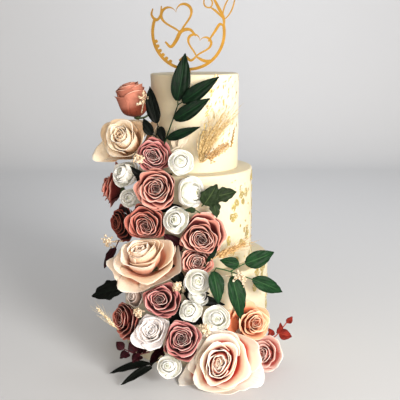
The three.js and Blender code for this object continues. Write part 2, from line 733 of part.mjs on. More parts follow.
const polar = (angle, reach) =>
  new THREE.Vector2(reach * Math.cos(radians(angle)), reach * Math.sin(radians(angle)));
const flat = (x, y) => new THREE.Vector2(x, y);

function ringBand(from, to) {
  const steps = 18;
  const angles = Array.from({ length: steps + 1 }, (_, i) => from + (to - from) * (i / steps));
  const inner = TOPPER_RADIUS - TOPPER_BAND;
  return new THREE.Shape([
    ...angles.map((a) => polar(a, TOPPER_RADIUS)),
    ...angles.reverse().map((a) => polar(a, inner)),
  ]);
}

// A pen stroke through the points, swelling from its ends to its middle.
function stroke(points, width) {
  const steps = 2 * (points.length - 1);
  const line = new THREE.SplineCurve(points);
  const [left, right] = [[], []];
  for (let i = 0; i <= steps; i++) {
    const share = i / steps;
    const half = (width / 2) * (0.45 + 0.55 * Math.sin(Math.PI * share));
    const point = line.getPoint(share);
    const tangent = line.getTangent(share);
    const normal = flat(-tangent.y, tangent.x).multiplyScalar(half);
    left.push(point.clone().add(normal));
    right.push(point.clone().sub(normal));
  }
  return new THREE.Shape([...left, ...right.reverse()]);
}

function heartOutline(middle, width, lean) {
  const steps = 10;
  return Array.from({ length: steps }, (_, k) => {
    const t = (k / steps) * 2 * Math.PI;
    const x = 16 * Math.sin(t) ** 3;
    const y = 13 * Math.cos(t) - 5 * Math.cos(2 * t) - 2 * Math.cos(3 * t) - Math.cos(4 * t);
    return flat(x, y).multiplyScalar(width / 32).rotateAround(flat(0, 0), radians(lean)).add(middle);
  });
}

function heart(middle, width, line, lean) {
  const shape = new THREE.Shape(heartOutline(middle, width, lean));
  shape.holes.push(new THREE.Path(heartOutline(middle, width - 2 * line, lean).reverse()));
  return shape;
}

// A leaf of the gold spray, cut out along its middle.
function goldLeaf(base, tip, width, line = 2.3) {
  const outline = (inset) => {
    const along = tip.clone().sub(base);
    const across = flat(-along.y, along.x).normalize();
    const half = width / 2 - inset;
    const from = base.clone().addScaledVector(along, inset / along.length());
    return [0, 0.25, 0.6, 1, 0.6, 0.25].map((share, k) => {
      const sway = k === 0 || k === 3 ? 0 : half * (k < 3 ? 1 : -1);
      return from.clone()
        .addScaledVector(along, share * (1 - 2.2 * inset / along.length()))
        .addScaledVector(across, sway);
    });
  };
  const shape = new THREE.Shape(outline(0));
  shape.holes.push(new THREE.Path(outline(line).reverse()));
  return shape;
}

function topper() {
  const inner = TOPPER_RADIUS - TOPPER_BAND;
  const beads = Array.from({ length: 6 }, (_, i) => {
    const spot = polar(194 + 8.5 * i, inner - 1.4);
    return new THREE.Shape(Array.from({ length: 4 }, (_, k) => polar(90 * k, 2.8).add(spot)));
  });
  const stake = new THREE.Shape([
    flat(-STAKE.width / 2, 2 - inner - TOPPER_BAND / 2),
    flat(-STAKE.width / 2, CAKE_TOP - TOPPER_CENTRE.z - STAKE.depth + STAKE.width),
    flat(0, CAKE_TOP - TOPPER_CENTRE.z - STAKE.depth),
    flat(STAKE.width / 2, CAKE_TOP - TOPPER_CENTRE.z - STAKE.depth + STAKE.width),
    flat(STAKE.width / 2, 2 - inner - TOPPER_BAND / 2),
  ]);
  const shapes = [
    ringBand(156, 374),
    stake,
    ...beads,
    heart(flat(-18, 24), 54, 4.4, 12),
    heart(flat(17, -19), 42, 4, -14),
    // the scroll that leaves the ring at the upper left
    stroke([flat(-57, 38), flat(-59, 28), flat(-52, 20), flat(-45, 27), flat(-43, 42)], 4),
    // the flourish that crosses between the hearts
    stroke([flat(-38, -14), flat(-29, -22), flat(-20, -12), flat(-12, 2), flat(2, 5), flat(12, -5)], 6),
    // the tails that tie the lower heart to the ring
    stroke([flat(32, -14), flat(43, 2), flat(51, 13), flat(58, 9)], 4.4),
    stroke([flat(16, -34), flat(4, -44), flat(-6, -38), flat(-16, -44)], 4.4),
    stroke([flat(12, -38), flat(26, -45), flat(38, -44)], 5),
    // the stems and leaves of the spray at the upper right
    stroke([flat(57, 6), flat(57, 22), flat(47, 42), flat(37, 60)], 5),
    stroke([flat(56, 22), flat(45, 33), flat(35, 40)], 3.4),
    goldLeaf(flat(36, 38), flat(27, 57), 16),
    goldLeaf(flat(39, 56), flat(33, 80), 16),
    goldLeaf(flat(57, 20), flat(76, 66), 15),
  ];
  return union(shapes.map(cutFromSheet));
}

// The slot that the stake makes in the top tier.
function stakeSlot() {
  const slot = new THREE.BoxGeometry(STAKE.width + 2 * GAP, TOPPER_THICK + 2 * GAP, STAKE.depth + 1);
  slot.translate(TOPPER_CENTRE.x, 0, CAKE_TOP - STAKE.depth / 2 + 0.2);
  return solidOf(slot);
}

// ------------------------------------------------------------------- assembly

const cake = new THREE.Group();
const tierRooms = union(TIER_RADII.map((_, index) => tierRoom(index)));
const taken = []; // the room that the pieces placed so far take up

function addTier(name, index) {
  const parts = [tierBody(index), ...flakes(index)];
  if (index === 2) parts.push(tornCoat());
  const solid = union(parts);
  cake.add(meshOf(name, index === 2 ? solid.subtract(stakeSlot()) : solid, ICING));
}

// Adds a piece, cut back clear of the tiers, the board and what is already there.
function addClear(name, solid, room, material) {
  let cut = solid.trimByPlane([0, 0, 1], GAP).subtract(tierRooms);
  for (const other of taken) {
    if (near(cut, other)) cut = cut.subtract(other);
  }
  taken.push(room);
  cake.add(meshOf(name, largest(cut), material));
}

addTier("tier_bottom", 0);
addTier("tier_middle", 1);
addTier("tier_top", 2);
cake.add(meshOf("topper", topper(), GOLD));

for (const bloom of BLOOMS) {
  const pressed = pressedApart(bloomHead(bloom), bloom);
  const head = pressed.trimByPlane([0, 0, 1], GAP).subtract(tierRooms);
  cake.add(meshOf(bloom.name, largest(head), bloom.material));
}
for (const bloom of BLOOMS) taken.push(pressedApart(bloomRoom(bloom), bloom));

for (const piece of SPRIGS) {
  addClear(piece.name, sprig(piece), sprig(piece, GAP), piece.material);
}
addClear(GRASS.name, grass(GRASS), grass(GRASS, GAP), STRAW);
for (const piece of SEEDHEADS) {
  addClear(piece.name, seedhead(piece), seedhead(piece, GAP), piece.material);
}
for (const [name, ...shape] of SPRAYS) {
  addClear(name, spray(...shape), spray(...shape, GAP), SEED_HEAD);
}
for (const bloom of BLOOMS) taken.push(neckRoom(bloom));
for (const piece of BACKINGS) {
  addClear(piece.name, sprig(piece), sprig(piece, GAP), piece.material);
}

export default cake;
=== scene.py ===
"""A tiered wedding cake: three iced tiers with gold leaf, a cascade of fabric flowers and a gold topper.

Sizes are in millimetres, as a cake maker works, and become metres where a mesh is made.
"""
import math
import bmesh
import bpy
import numpy as np
from mathutils import Matrix, Vector


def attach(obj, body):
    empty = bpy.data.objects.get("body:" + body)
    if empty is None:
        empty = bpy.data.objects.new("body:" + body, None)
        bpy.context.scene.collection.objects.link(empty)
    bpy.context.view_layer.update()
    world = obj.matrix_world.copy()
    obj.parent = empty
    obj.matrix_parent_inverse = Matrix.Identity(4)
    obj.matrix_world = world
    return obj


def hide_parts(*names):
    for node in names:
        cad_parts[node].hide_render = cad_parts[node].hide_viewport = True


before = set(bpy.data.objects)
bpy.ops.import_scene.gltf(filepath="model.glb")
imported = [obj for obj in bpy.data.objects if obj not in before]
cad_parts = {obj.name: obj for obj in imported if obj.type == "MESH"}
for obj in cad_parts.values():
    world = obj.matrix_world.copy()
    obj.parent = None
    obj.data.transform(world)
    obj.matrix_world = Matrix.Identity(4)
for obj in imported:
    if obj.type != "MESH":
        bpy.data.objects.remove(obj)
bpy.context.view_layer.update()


# ---------------------------------------------------------------------------------------------- the tiers
# Three rounds of sponge, iced in ivory buttercream and smoothed with a scraper while they turn. Each sits
# on the one below, and its top edge is softened with a hot palette knife. The top tier has a second coat
# on its right side, pressed on and pulled, so that it stands up in creases and ends in a torn edge.

MM = 0.001
TIER_HEIGHT = 155
TIER_RADII = [125, 96, 72]
TIER_NODES = ["tier_bottom", "tier_middle", "tier_top"]
TIER_GAP = 0.3  # left under the next tier
RIM = 2.2  # the softened top edge
TURNS = 360  # points round a tier
WALL_ROWS, RIM_ROWS, TOP_ROWS = 90, 6, 14  # rows of points up the wall, over the edge and inwards
COAT = {"from": -84, "lean": 16, "to": 24, "low": 352, "rise": 1.3}  # degrees round, then mm up and mm out
COAT_HIGH = 3 * TIER_HEIGHT - COAT["low"]


def linear(code):
    """The linear colour of an sRGB hex code."""
    shares = [int(code[i:i + 2], 16) / 255 for i in (1, 3, 5)]
    return [s / 12.92 if s < 0.04045 else ((s + 0.055) / 1.055) ** 2.4 for s in shares] + [1]


def node(tree, kind, inputs=None, **settings):
    """Adds a node with its settings, and gives each input its value or its link."""
    made = tree.nodes.new(kind)
    for key, value in settings.items():
        setattr(made, key, value)
    for key, value in (inputs or {}).items():
        if isinstance(value, bpy.types.NodeSocket):
            tree.links.new(value, made.inputs[key])
        else:
            made.inputs[key].default_value = value
    return made


def new_material(name):
    """A material with only its output, and the tree to fill."""
    material = bpy.data.materials.new(name)
    material.use_nodes = True
    material.node_tree.nodes.clear()
    return material, material.node_tree


def shine(tree, surface, bump=None, depth=0):
    """Ends a material in a principled surface. A bump height may be given, with its depth in mm."""
    if bump:
        relief = node(tree, "ShaderNodeBump", {"Height": bump, "Distance": depth * MM, "Strength": 1})
        surface["Normal"] = relief.outputs["Normal"]
    shader = node(tree, "ShaderNodeBsdfPrincipled", surface)
    node(tree, "ShaderNodeOutputMaterial", {"Surface": shader.outputs["BSDF"]})


def object_place(tree):
    """Where a point lies on the object, in metres."""
    return node(tree, "ShaderNodeTexCoord").outputs["Object"]


def painted(tree, name):
    """A value that the mesh's points carry."""
    return node(tree, "ShaderNodeAttribute", attribute_name=name).outputs["Fac"]


def noise(tree, place, scale, detail=3.0, rough=0.5):
    """Noise whose lumps are about 1 / scale metres across, or that share of a UV map."""
    inputs = {"Vector": place, "Scale": scale, "Detail": detail, "Roughness": rough}
    return node(tree, "ShaderNodeTexNoise", inputs).outputs["Fac"]


def blend(tree, share, low, high, kind="MIX"):
    """A colour between two, by a share that is a number or a socket."""
    made = node(tree, "ShaderNodeMix", {0: share, 6: low, 7: high}, data_type="RGBA", blend_type=kind)
    return made.outputs[2]


def iced():
    """Ivory buttercream, scraped smooth: a soft, slightly waxy surface that light sinks into. The torn second
    coat is whiter."""
    material, tree = new_material("buttercream_scraped")
    place = object_place(tree)
    bands = node(tree, "ShaderNodeMapping", {"Vector": place, "Scale": (9, 9, 60)}).outputs["Vector"]
    scraper = noise(tree, bands, 1.0)  # level marks about 15 mm apart
    pores = noise(tree, place, 260, 2.0)  # about 4 mm
    coat = painted(tree, "coat")
    colour = blend(tree, scraper, linear("#d0c6a8"), linear("#d9d0b8"))
    colour = blend(tree, coat, colour, linear("#d6d1be"))
    relief = blend(tree, 0.25, scraper, pores)
    shine(tree, {"Base Color": colour, "Roughness": 0.52, "IOR": 1.45, "Subsurface Weight": 0.25,
                 "Subsurface Radius": (0.009, 0.006, 0.003), "Subsurface Scale": 1.0},
          bump=relief, depth=0.5)
    return material


def placed(name, data):
    """A new object in the scene, with its data."""
    made = bpy.data.objects.new(name, data)
    bpy.context.scene.collection.objects.link(made)
    return made


def new_piece(name, points, faces, *materials):
    """A smooth mesh object from points in millimetres."""
    mesh = bpy.data.meshes.new(name)
    mesh.from_pydata((np.asarray(points, float) * MM).tolist(), [], faces)
    for material in materials:
        mesh.materials.append(material)
    mesh.shade_smooth()
    return placed(name, mesh)


def stand_in(piece, node_name):
    """The piece joins the root and stands where a solid of the frame is, which is hidden."""
    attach(piece, "root")
    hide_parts(node_name)


def around(azimuth, reach, height):
    """A point by its azimuth in degrees, its distance from the cake's axis and its height."""
    a = math.radians(azimuth)
    return np.array([reach * math.cos(a), reach * math.sin(a), height])


def coat_rise(azimuth, height):
    """How far the torn coat stands up at a place on the top tier: ragged edges and upright creases."""
    up = (height - COAT["low"]) / COAT_HIGH
    ragged = 3.2 * math.sin(0.19 * height) + 2.0 * math.sin(0.47 * height + 1) + 1.2 * math.sin(1.1 * height)
    start = COAT["from"] + COAT["lean"] * up + ragged
    end = COAT["to"] + 5 * math.sin(0.11 * height + 2) + 2 * math.sin(0.6 * height)
    if up < 0 or not start < azimuth < end:
        return 0
    edge = min(1, (azimuth - start) / 1.2, (end - azimuth) / 4, 8 * up)
    crease = math.sin(0.21 * azimuth + 0.06 * height + 2.2 * math.sin(0.13 * azimuth + 0.05 * height))
    smear = math.sin(0.17 * height - 0.33 * azimuth + 1.8 * math.sin(0.4 * azimuth))
    fold = 0.58 + 0.2 * crease + 0.14 * smear
    torn = 0.5 * math.exp(-((azimuth - start) / 3) ** 2)
    return COAT["rise"] * edge * (fold + torn)


def ringed(rings, first, last, downward=False):
    """A closed skin over stacked rings of points between two end points, as points and faces."""
    sides, top = len(rings[0]), (len(rings) - 1) * len(rings[0])
    here, after = np.arange(sides), np.roll(np.arange(sides), -1)
    if downward:
        here, after = after, here
    end = np.full(sides, top + sides)
    parts = [np.stack([low + here, low + after, low + sides + after, low + sides + here], 1)
             for low in range(0, top, sides)]
    caps = [np.stack([after, here, end], 1), np.stack([top + here, top + after, end + 1], 1)]
    faces = [face for part in parts + caps for face in part.tolist()]
    return np.concatenate([*rings, [first], [last]]), faces


def tier_skin(index):
    """The iced surface of a tier, turned about the axis, with the marks of the scraper in it."""
    radius, low = TIER_RADII[index], index * TIER_HEIGHT
    high = low + TIER_HEIGHT - TIER_GAP
    profile = [(radius, z, 1) for z in np.linspace(low, high - RIM, WALL_ROWS)]
    for k in range(1, RIM_ROWS + 1):
        a = math.radians(90 * k / RIM_ROWS)
        fade = 1 - k / (RIM_ROWS + 1)
        profile.append((radius - RIM + RIM * math.cos(a), high - RIM + RIM * math.sin(a), fade))
    profile += [(share * (radius - RIM), high, 0) for share in np.linspace(0.97, 0.06, TOP_ROWS)]
    rings, coated = [], []
    for reach, z, wall_share in profile:
        ring = []
        for k in range(TURNS):
            azimuth = 360 * k / TURNS - 180
            wave = 0.16 * math.sin(0.05 * azimuth + 0.06 * z) + 0.10 * math.sin(0.13 * azimuth - 0.11 * z)
            rise = coat_rise(azimuth, z) if index == 2 and z < high - RIM / 2 else 0
            ring.append(around(azimuth, reach + wall_share * (wave + rise), z))
            coated.append(min(1.0, 2 * rise))
        rings.append(ring)
    points, faces = ringed(rings, (0, 0, low), (0, 0, high))
    return points, faces, coated + [0.0, 0.0]


ICING = iced()
tiers = []
for index, name in enumerate(TIER_NODES):
    points, faces, coated = tier_skin(index)
    tiers.append(new_piece("iced_" + name, points, faces, ICING))
    tiers[-1].data.attributes.new("coat", "FLOAT", "POINT").data.foreach_set("value", coated)


# ------------------------------------------------------------------------------------------- the gold leaf
# Edible gold leaf, torn into flakes with tweezers and pressed onto the icing by its tack. The flakes are a
# few hundredths of a millimetre thick and crumpled, so that they glitter, and some let the icing show.

FLAKE_FIELDS = [
    {"from": -42, "to": 190, "rows": 3, "columns": 6, "seed": 11},
    {"from": -66, "to": 160, "rows": 4, "columns": 5, "seed": 23},
    {"from": 40, "to": 180, "rows": 2, "columns": 3, "seed": 37},
]
CRUMBS = {"count": 8, "large": 4, "round": 15, "up": 17}  # at each place, scattered by degrees and mm
EDGE_LEAF = {"rows": 44, "past": 60}  # how many rows of leaf on the torn edge, and how many degrees past it


def maths(tree, operation, *values):
    """The result of an operation on numbers or sockets."""
    return node(tree, "ShaderNodeMath", dict(enumerate(values)), operation=operation).outputs[0]


def step(tree, value, start, end, low=0.0, high=1.0):
    """A smooth step of a value."""
    made = node(tree, "ShaderNodeMapRange", {"Value": value, "From Min": start, "From Max": end,
                                             "To Min": low, "To Max": high}, interpolation_type="SMOOTHSTEP")
    return made.outputs["Result"]


def gold_leaf():
    """Gold leaf: crumpled and pale gold, so finely torn that the ivory of the icing shows through it."""
    material, tree = new_material("gold_leaf_torn")
    place = object_place(tree)
    crumple = noise(tree, place, 700, 4.0, 0.7)  # creases about 1.5 mm apart
    torn = step(tree, noise(tree, place, 380, 3.0, 0.6), 0.40, 0.46)  # holes about 3 mm apart
    gold = blend(tree, crumple, linear("#9c8239"), linear("#e7d48b"))
    colour = blend(tree, torn, linear("#dcd1ae"), gold)
    metal = maths(tree, "MULTIPLY", torn, 0.7)
    shine(tree, {"Base Color": colour, "Metallic": metal, "Roughness": 0.36}, bump=crumple, depth=0.6)
    return material


def geometry_tree(name, inputs):
    """A geometry tree with named inputs, and the sockets of its group input."""
    tree = bpy.data.node_groups.new(name, "GeometryNodeTree")
    tree.interface.new_socket("Geometry", in_out="INPUT", socket_type="NodeSocketGeometry")
    tree.interface.new_socket("Geometry", in_out="OUTPUT", socket_type="NodeSocketGeometry")
    for label, value in inputs.items():
        kind = {int: "NodeSocketInt", float: "NodeSocketFloat"}.get(type(value), "NodeSocketMaterial")
        socket = tree.interface.new_socket(label, in_out="INPUT", socket_type=kind)
        if kind != "NodeSocketMaterial":
            socket.default_value = value
    return tree, node(tree, "NodeGroupInput").outputs


def applied(holder):
    """The plain mesh of an object with its modifiers applied."""
    graph = bpy.context.evaluated_depsgraph_get()
    return bpy.data.meshes.new_from_object(holder.evaluated_get(graph))


def grown(name, seeds, tree, **values):
    """The plain mesh that a geometry tree grows from a seed mesh."""
    holder = placed(name + "_seeds", seeds)
    modifier = holder.modifiers.new("grow", "NODES")
    modifier.node_group = tree
    for item in tree.interface.items_tree:
        key = item.name.replace(" ", "_").lower()
        if item.in_out == "INPUT" and key in values:
            modifier[item.identifier] = values[key]
    mesh = applied(holder)
    holder.modifiers.clear()
    bpy.data.objects.remove(holder)
    return placed(name, mesh)


def seed_mesh(points, edges=(), **attributes):
    """Loose points, in millimetres, and edges for a geometry tree, with values on the points."""
    mesh = bpy.data.meshes.new("seeds")
    mesh.from_pydata((np.asarray(points, float) * MM).tolist(), list(edges), [])
    for key, values in attributes.items():
        values = np.asarray(values, np.float32)
        kind = "FLOAT_VECTOR" if values.ndim == 2 else "FLOAT"
        layer = mesh.attributes.new(key, kind, "POINT")
        layer.data.foreach_set("vector" if values.ndim == 2 else "value", values.ravel())
    return mesh


def named(tree, name, kind="FLOAT"):
    """A named attribute's value in a geometry tree."""
    return node(tree, "GeometryNodeInputNamedAttribute", {"Name": name}, data_type=kind).outputs["Attribute"]


def set_and_end(tree, geometry, material):
    """Gives the geometry its material and ends the tree."""
    finished = node(tree, "GeometryNodeSetMaterial", {"Geometry": geometry, "Material": material})
    node(tree, "NodeGroupOutput", {"Geometry": finished.outputs[0]})


def upright_to(tree, direction):
    """The rotation that stands a thing up along a direction."""
    return node(tree, "FunctionNodeAlignRotationToVector", {"Vector": direction}, axis="Z").outputs[0]


def turned_by(tree, rotation, angles):
    """A rotation with a further turn about the thing's own axes."""
    inputs = {"Rotation": rotation, "Rotate By": angles}
    return node(tree, "FunctionNodeRotateRotation", inputs, rotation_space="LOCAL").outputs[0]


def flake_tree():
    """Lays a thin round on each seed point, turned at random, and tears its outline with noise."""
    tree, given = geometry_tree("torn_flakes", {"Thickness": 0.0003, "Tear": 0.002, "Material": None})
    round_ = node(tree, "GeometryNodeMeshCylinder", {
        "Vertices": 14, "Radius": 0.001, "Depth": given["Thickness"]})
    spin = node(tree, "ShaderNodeCombineXYZ", {2: named(tree, "spin")}).outputs[0]
    turned = turned_by(tree, upright_to(tree, named(tree, "outward", "FLOAT_VECTOR")), spin)
    laid = node(tree, "GeometryNodeInstanceOnPoints", {
        "Points": given["Geometry"], "Instance": round_.outputs["Mesh"], "Rotation": turned,
        "Scale": named(tree, "size", "FLOAT_VECTOR")})
    real = node(tree, "GeometryNodeRealizeInstances", {"Geometry": laid.outputs[0]})
    field = node(tree, "ShaderNodeTexNoise", {"Scale": 420, "Detail": 3.0}).outputs["Color"]
    centred = node(tree, "ShaderNodeVectorMath", {0: field, 1: (0.5, 0.5, 0.5)}, operation="SUBTRACT")
    pull = node(tree, "ShaderNodeVectorMath", {0: centred.outputs[0]}, operation="SCALE")
    tree.links.new(given["Tear"], pull.inputs["Scale"])
    torn = node(tree, "GeometryNodeSetPosition", {"Geometry": real.outputs[0], "Offset": pull.outputs[0]})
    set_and_end(tree, torn.outputs[0], given["Material"])
    return tree


def seeded(seed):
    """The same stream of random numbers from 0 to 1 that lays the flakes on the solids."""
    state = seed
    while True:
        state = (state * 1664525 + 1013904223) % 4294967296
        yield state / 4294967296


def flake_mesh(flakes):
    """Seeds for flakes: each has an azimuth, a distance out, a height, a width, a length and a lean."""
    return seed_mesh([around(turn, reach, z) for turn, reach, z, *_ in flakes],
                     outward=[around(flake[0], 1, 0) for flake in flakes],
                     size=[(flake[3], flake[4], 1) for flake in flakes],
                     spin=[math.radians(flake[0] + 90) + flake[5] for flake in flakes])


def flake_seeds(index):
    """Where the flakes of a tier lie: a large one at each place on the solid, and crumbs of leaf round it."""
    field = FLAKE_FIELDS[index]
    draw, crumbs = seeded(field["seed"]), np.random.default_rng(field["seed"])
    lowest, highest = index * TIER_HEIGHT + 9, (index + 1) * TIER_HEIGHT - 7
    flakes = []
    for row in range(field["rows"]):
        for column in range(field["columns"]):
            across = (column + 0.15 + 0.7 * next(draw)) / field["columns"]
            up = (row + 0.2 + 0.6 * next(draw)) / field["rows"]
            height = TIER_HEIGHT * (index + 0.05 + 0.9 * up)
            azimuth = field["from"] + (field["to"] - field["from"]) * across
            large = 3.4 + 2.4 * next(draw)
            for _ in range(4):
                next(draw)  # the solid's flake draws its four corners here
            for crumb in range(CRUMBS["count"]):
                strays = min(crumb, 1)  # the first one stays in the middle
                turn = azimuth + strays * crumbs.normal(0, CRUMBS["round"])
                z = min(max(height + strays * crumbs.normal(0, CRUMBS["up"]), lowest), highest)
                is_large = crumb < CRUMBS["large"]
                size = large * crumbs.uniform(0.8, 1.3) if is_large else crumbs.uniform(0.8, 2.4)
                flakes.append((turn, TIER_RADII[index] + 0.35, z, size, 1.4 * size, crumbs.normal(0, 0.6)))
    return flake_mesh(flakes)


def torn_edge_seeds():
    """Leaf caught on the torn edge of the second coat, in upright streaks past it and up to the rim."""
    draw = np.random.default_rng(5)
    highest = 3 * TIER_HEIGHT - 4
    flakes = []
    for height in np.linspace(COAT["low"] + 6, highest, EDGE_LEAF["rows"]):
        edge = COAT["from"] + COAT["lean"] * (height - COAT["low"]) / COAT_HIGH
        for _ in range(2):
            turn = edge + draw.uniform(0, 1) ** 2 * EDGE_LEAF["past"] + 2
            size = draw.uniform(0.8, 2.0) * (1.3 if turn < edge + 6 else 1)
            z = min(height + draw.normal(0, 3), highest)
            reach = TIER_RADII[2] + coat_rise(turn, z) + 0.25
            flakes.append((turn, reach, z, 0.6 * size, 2.6 * size, draw.normal(-0.35, 0.3)))
    return flake_mesh(flakes)


def joined(first, *others):
    """Joins meshes into the first object, in one piece."""
    with bpy.context.temp_override(active_object=first, selected_editable_objects=[first, *others]):
        bpy.ops.object.join()
    return first


GOLD_LEAF = gold_leaf()
FLAKES = flake_tree()
for index, tier in enumerate(tiers):
    laid = [grown("flakes", flake_seeds(index), FLAKES, tear=0.0045, material=GOLD_LEAF)]
    if index == 2:
        laid.append(grown("edge_flakes", torn_edge_seeds(), FLAKES, tear=0.003, material=GOLD_LEAF))
    stand_in(joined(tier, *laid), TIER_NODES[index])


# ---------------------------------------------------------------------------------------------- the topper
# A flat ornament, laser-cut in one piece from 3 mm acrylic with a gold mirror face. It stands in the top
# tier on a stake. Two hearts, pen strokes, beads and cut-out leaves are held together by an open ring.

TOPPER = {"x": -9, "z": 529, "thick": 3, "radius": 60.5, "band": 4.8, "edge": 0.35}
STAKE = {"width": 6, "depth": 45}
RING_SWEEP = (156, 374)  # degrees; the ring is open at its top
BEADS = {"count": 6, "from": 194, "apart": 8.5, "radius": 2.8}
HEARTS = [((-18, 24), 54, 4.4, 12), ((17, -19), 42, 4, -14)]  # middle, width, width of the line, lean
STROKES = [  # points along a pen stroke, and its width
    ([(-57, 38), (-59, 28), (-52, 20), (-45, 27), (-43, 42)], 4),  # the scroll off the ring, upper left
    ([(-38, -14), (-29, -22), (-20, -12), (-12, 2), (2, 5), (12, -5)], 6),  # between the hearts
    ([(32, -14), (43, 2), (51, 13), (58, 9)], 4.4),  # from the lower heart to the ring
    ([(16, -34), (4, -44), (-6, -38), (-16, -44)], 4.4),
    ([(12, -38), (26, -45), (38, -44)], 5),
    ([(57, 6), (57, 22), (47, 42), (37, 60)], 5),  # the stems of the spray, upper right
    ([(56, 22), (45, 33), (35, 40)], 3.4),
]
CUT_LEAVES = [  # base, tip, width
    ((36, 38), (27, 57), 16),
    ((39, 56), (33, 80), 16),
    ((57, 20), (76, 66), 15),
]


def mottled(name, scale, tones, detail, surface, depth, contrast=None):
    """A plain finish in two tones of one noise, which is its relief as well."""
    material, tree = new_material(name)
    spots = noise(tree, object_place(tree), scale, detail)
    share = step(tree, spots, *contrast) if contrast else spots
    surface["Base Color"] = blend(tree, share, *(linear(code) for code in tones))
    shine(tree, surface, bump=spots, depth=depth)
    return material


def gold_mirror():
    """Gold mirror acrylic: a deep gold metal, nearly smooth, with a faint orange-peel in its reflections."""
    return mottled("gold_mirror_acrylic", 90, ("#5e4619", "#785d27"), 2.0,
                   {"Metallic": 1.0, "Roughness": 0.34}, depth=0.1)


def polar(angle, reach):
    """A point of the ornament by its angle in degrees and its distance from the ring's centre."""
    return around(angle, reach, 0)[:2]


def unit(vector):
    """The vector at a length of one."""
    return np.asarray(vector, float) / np.linalg.norm(vector)


def run_of(line):
    """The direction of a line at each of its points."""
    run = np.gradient(line, axis=0)
    return run / np.linalg.norm(run, axis=1)[:, None]


def smooth_line(points, steps):
    """A Catmull-Rom line through the points."""
    points = np.asarray(points, float)
    ends = np.vstack([2 * points[0] - points[1], points, 2 * points[-1] - points[-2]])
    line = []
    for share in np.linspace(0, len(points) - 1, steps):
        i = min(int(share), len(points) - 2)
        t = share - i
        a, b, c, d = ends[i:i + 4]
        square, cube = 2 * a - 5 * b + 4 * c - d, 3 * b - a - 3 * c + d
        line.append(0.5 * (2 * b + (c - a) * t + square * t ** 2 + cube * t ** 3))
    return np.array(line)


def stroke_rails(points, width, steps=40):
    """The two edges of a pen stroke that swells from its ends to its middle."""
    line = smooth_line(points, steps)
    run = run_of(line)
    half = (width / 2) * (0.45 + 0.55 * np.sin(np.pi * np.linspace(0, 1, steps)))
    side = np.stack([-run[:, 1], run[:, 0]], 1) * half[:, None]
    return line + side, line - side


def heart_line(middle, width, lean, steps=72):
    """The closed outline of a heart, leaning by some degrees."""
    t = np.linspace(0, 2 * np.pi, steps, endpoint=False)
    x = 16 * np.sin(t) ** 3
    y = 13 * np.cos(t) - 5 * np.cos(2 * t) - 2 * np.cos(3 * t) - np.cos(4 * t)
    a = math.radians(lean)
    turned = np.stack([x * math.cos(a) - y * math.sin(a), x * math.sin(a) + y * math.cos(a)], 1)
    return turned * width / 32 + np.array(middle)


def leaf_line(base, tip, width, inset, steps=24):
    """The closed outline of a cut-out leaf, drawn in from its edge by an inset."""
    base, tip = np.array(base, float), np.array(tip, float)
    along, length = unit(tip - base), np.linalg.norm(tip - base)
    across = np.array([-along[1], along[0]])
    from_, long = base + along * inset, length - 2.2 * inset
    share = np.concatenate([np.linspace(0, 1, steps, endpoint=False),
                            np.linspace(1, 0, steps, endpoint=False)])
    half = (width / 2 - inset) * np.sin(np.pi * share ** 0.8) ** 0.8
    half[steps:] *= -1
    return from_ + np.outer(share * long, along) + np.outer(half, across)


def cut_solid(left, right, closed):
    """A flat solid between two rails, as thick as the sheet."""
    count, back = len(left), 2 * len(left)
    points = [(TOPPER["x"] + x, side * TOPPER["thick"] / 2, TOPPER["z"] + y)
              for side in (-1, 1) for x, y in np.concatenate([left, right])]
    faces = []
    for k in range(count if closed else count - 1):
        n = (k + 1) % count
        a, b, c, d = k, n, count + n, count + k
        faces += [(a, b, c, d), (d + back, c + back, b + back, a + back),
                  (b, a, a + back, b + back), (d, c, c + back, d + back)]
    if not closed:
        for a, d in ((0, count), (2 * count - 1, count - 1)):
            faces.append((a, d, d + back, a + back))
    return new_piece("cut", points, faces, GOLD_MIRROR)


def topper_parts():
    """Each stroke of the ornament as its own flat solid, in coordinates round the ring's centre."""
    outer, inner = TOPPER["radius"], TOPPER["radius"] - TOPPER["band"]
    rails = []  # each solid's two edges, and whether they close on themselves
    sweep = np.linspace(*RING_SWEEP, 120)
    rails.append((*(np.array([polar(a, reach) for a in sweep]) for reach in (outer, inner)), False))
    half, hub = STAKE["width"] / 2, 2 - inner - TOPPER["band"] / 2
    point = 3 * TIER_HEIGHT - TOPPER["z"] - STAKE["depth"]
    shoulder = point + STAKE["width"]
    rails.append((*(np.array([(side * half, hub), (side * half, shoulder), (side * 0.4, point)])
                    for side in (-1, 1)), False))
    for i in range(BEADS["count"]):
        spot = polar(BEADS["from"] + BEADS["apart"] * i, inner - 1.4)
        rails.append((*(np.array([polar(side * a, BEADS["radius"]) + spot for a in range(0, 180, 12)])
                        for side in (1, -1)), False))
    for middle, width, line, lean in HEARTS:
        rails.append((heart_line(middle, width, lean), heart_line(middle, width - 2 * line, lean), True))
    rails += [(*stroke_rails(points, width), False) for points, width in STROKES]
    for base, tip, width in CUT_LEAVES:
        rails.append((leaf_line(base, tip, width, 0), leaf_line(base, tip, width, 2.3), True))
    return [cut_solid(*rail) for rail in rails]


def turn_outward(part):
    """Turns every face of a closed mesh outwards."""
    work = bmesh.new()
    work.from_mesh(part.data)
    bmesh.ops.remove_doubles(work, verts=work.verts, dist=1e-6)
    bmesh.ops.recalc_face_normals(work, faces=work.faces)
    work.to_mesh(part.data)
    work.free()


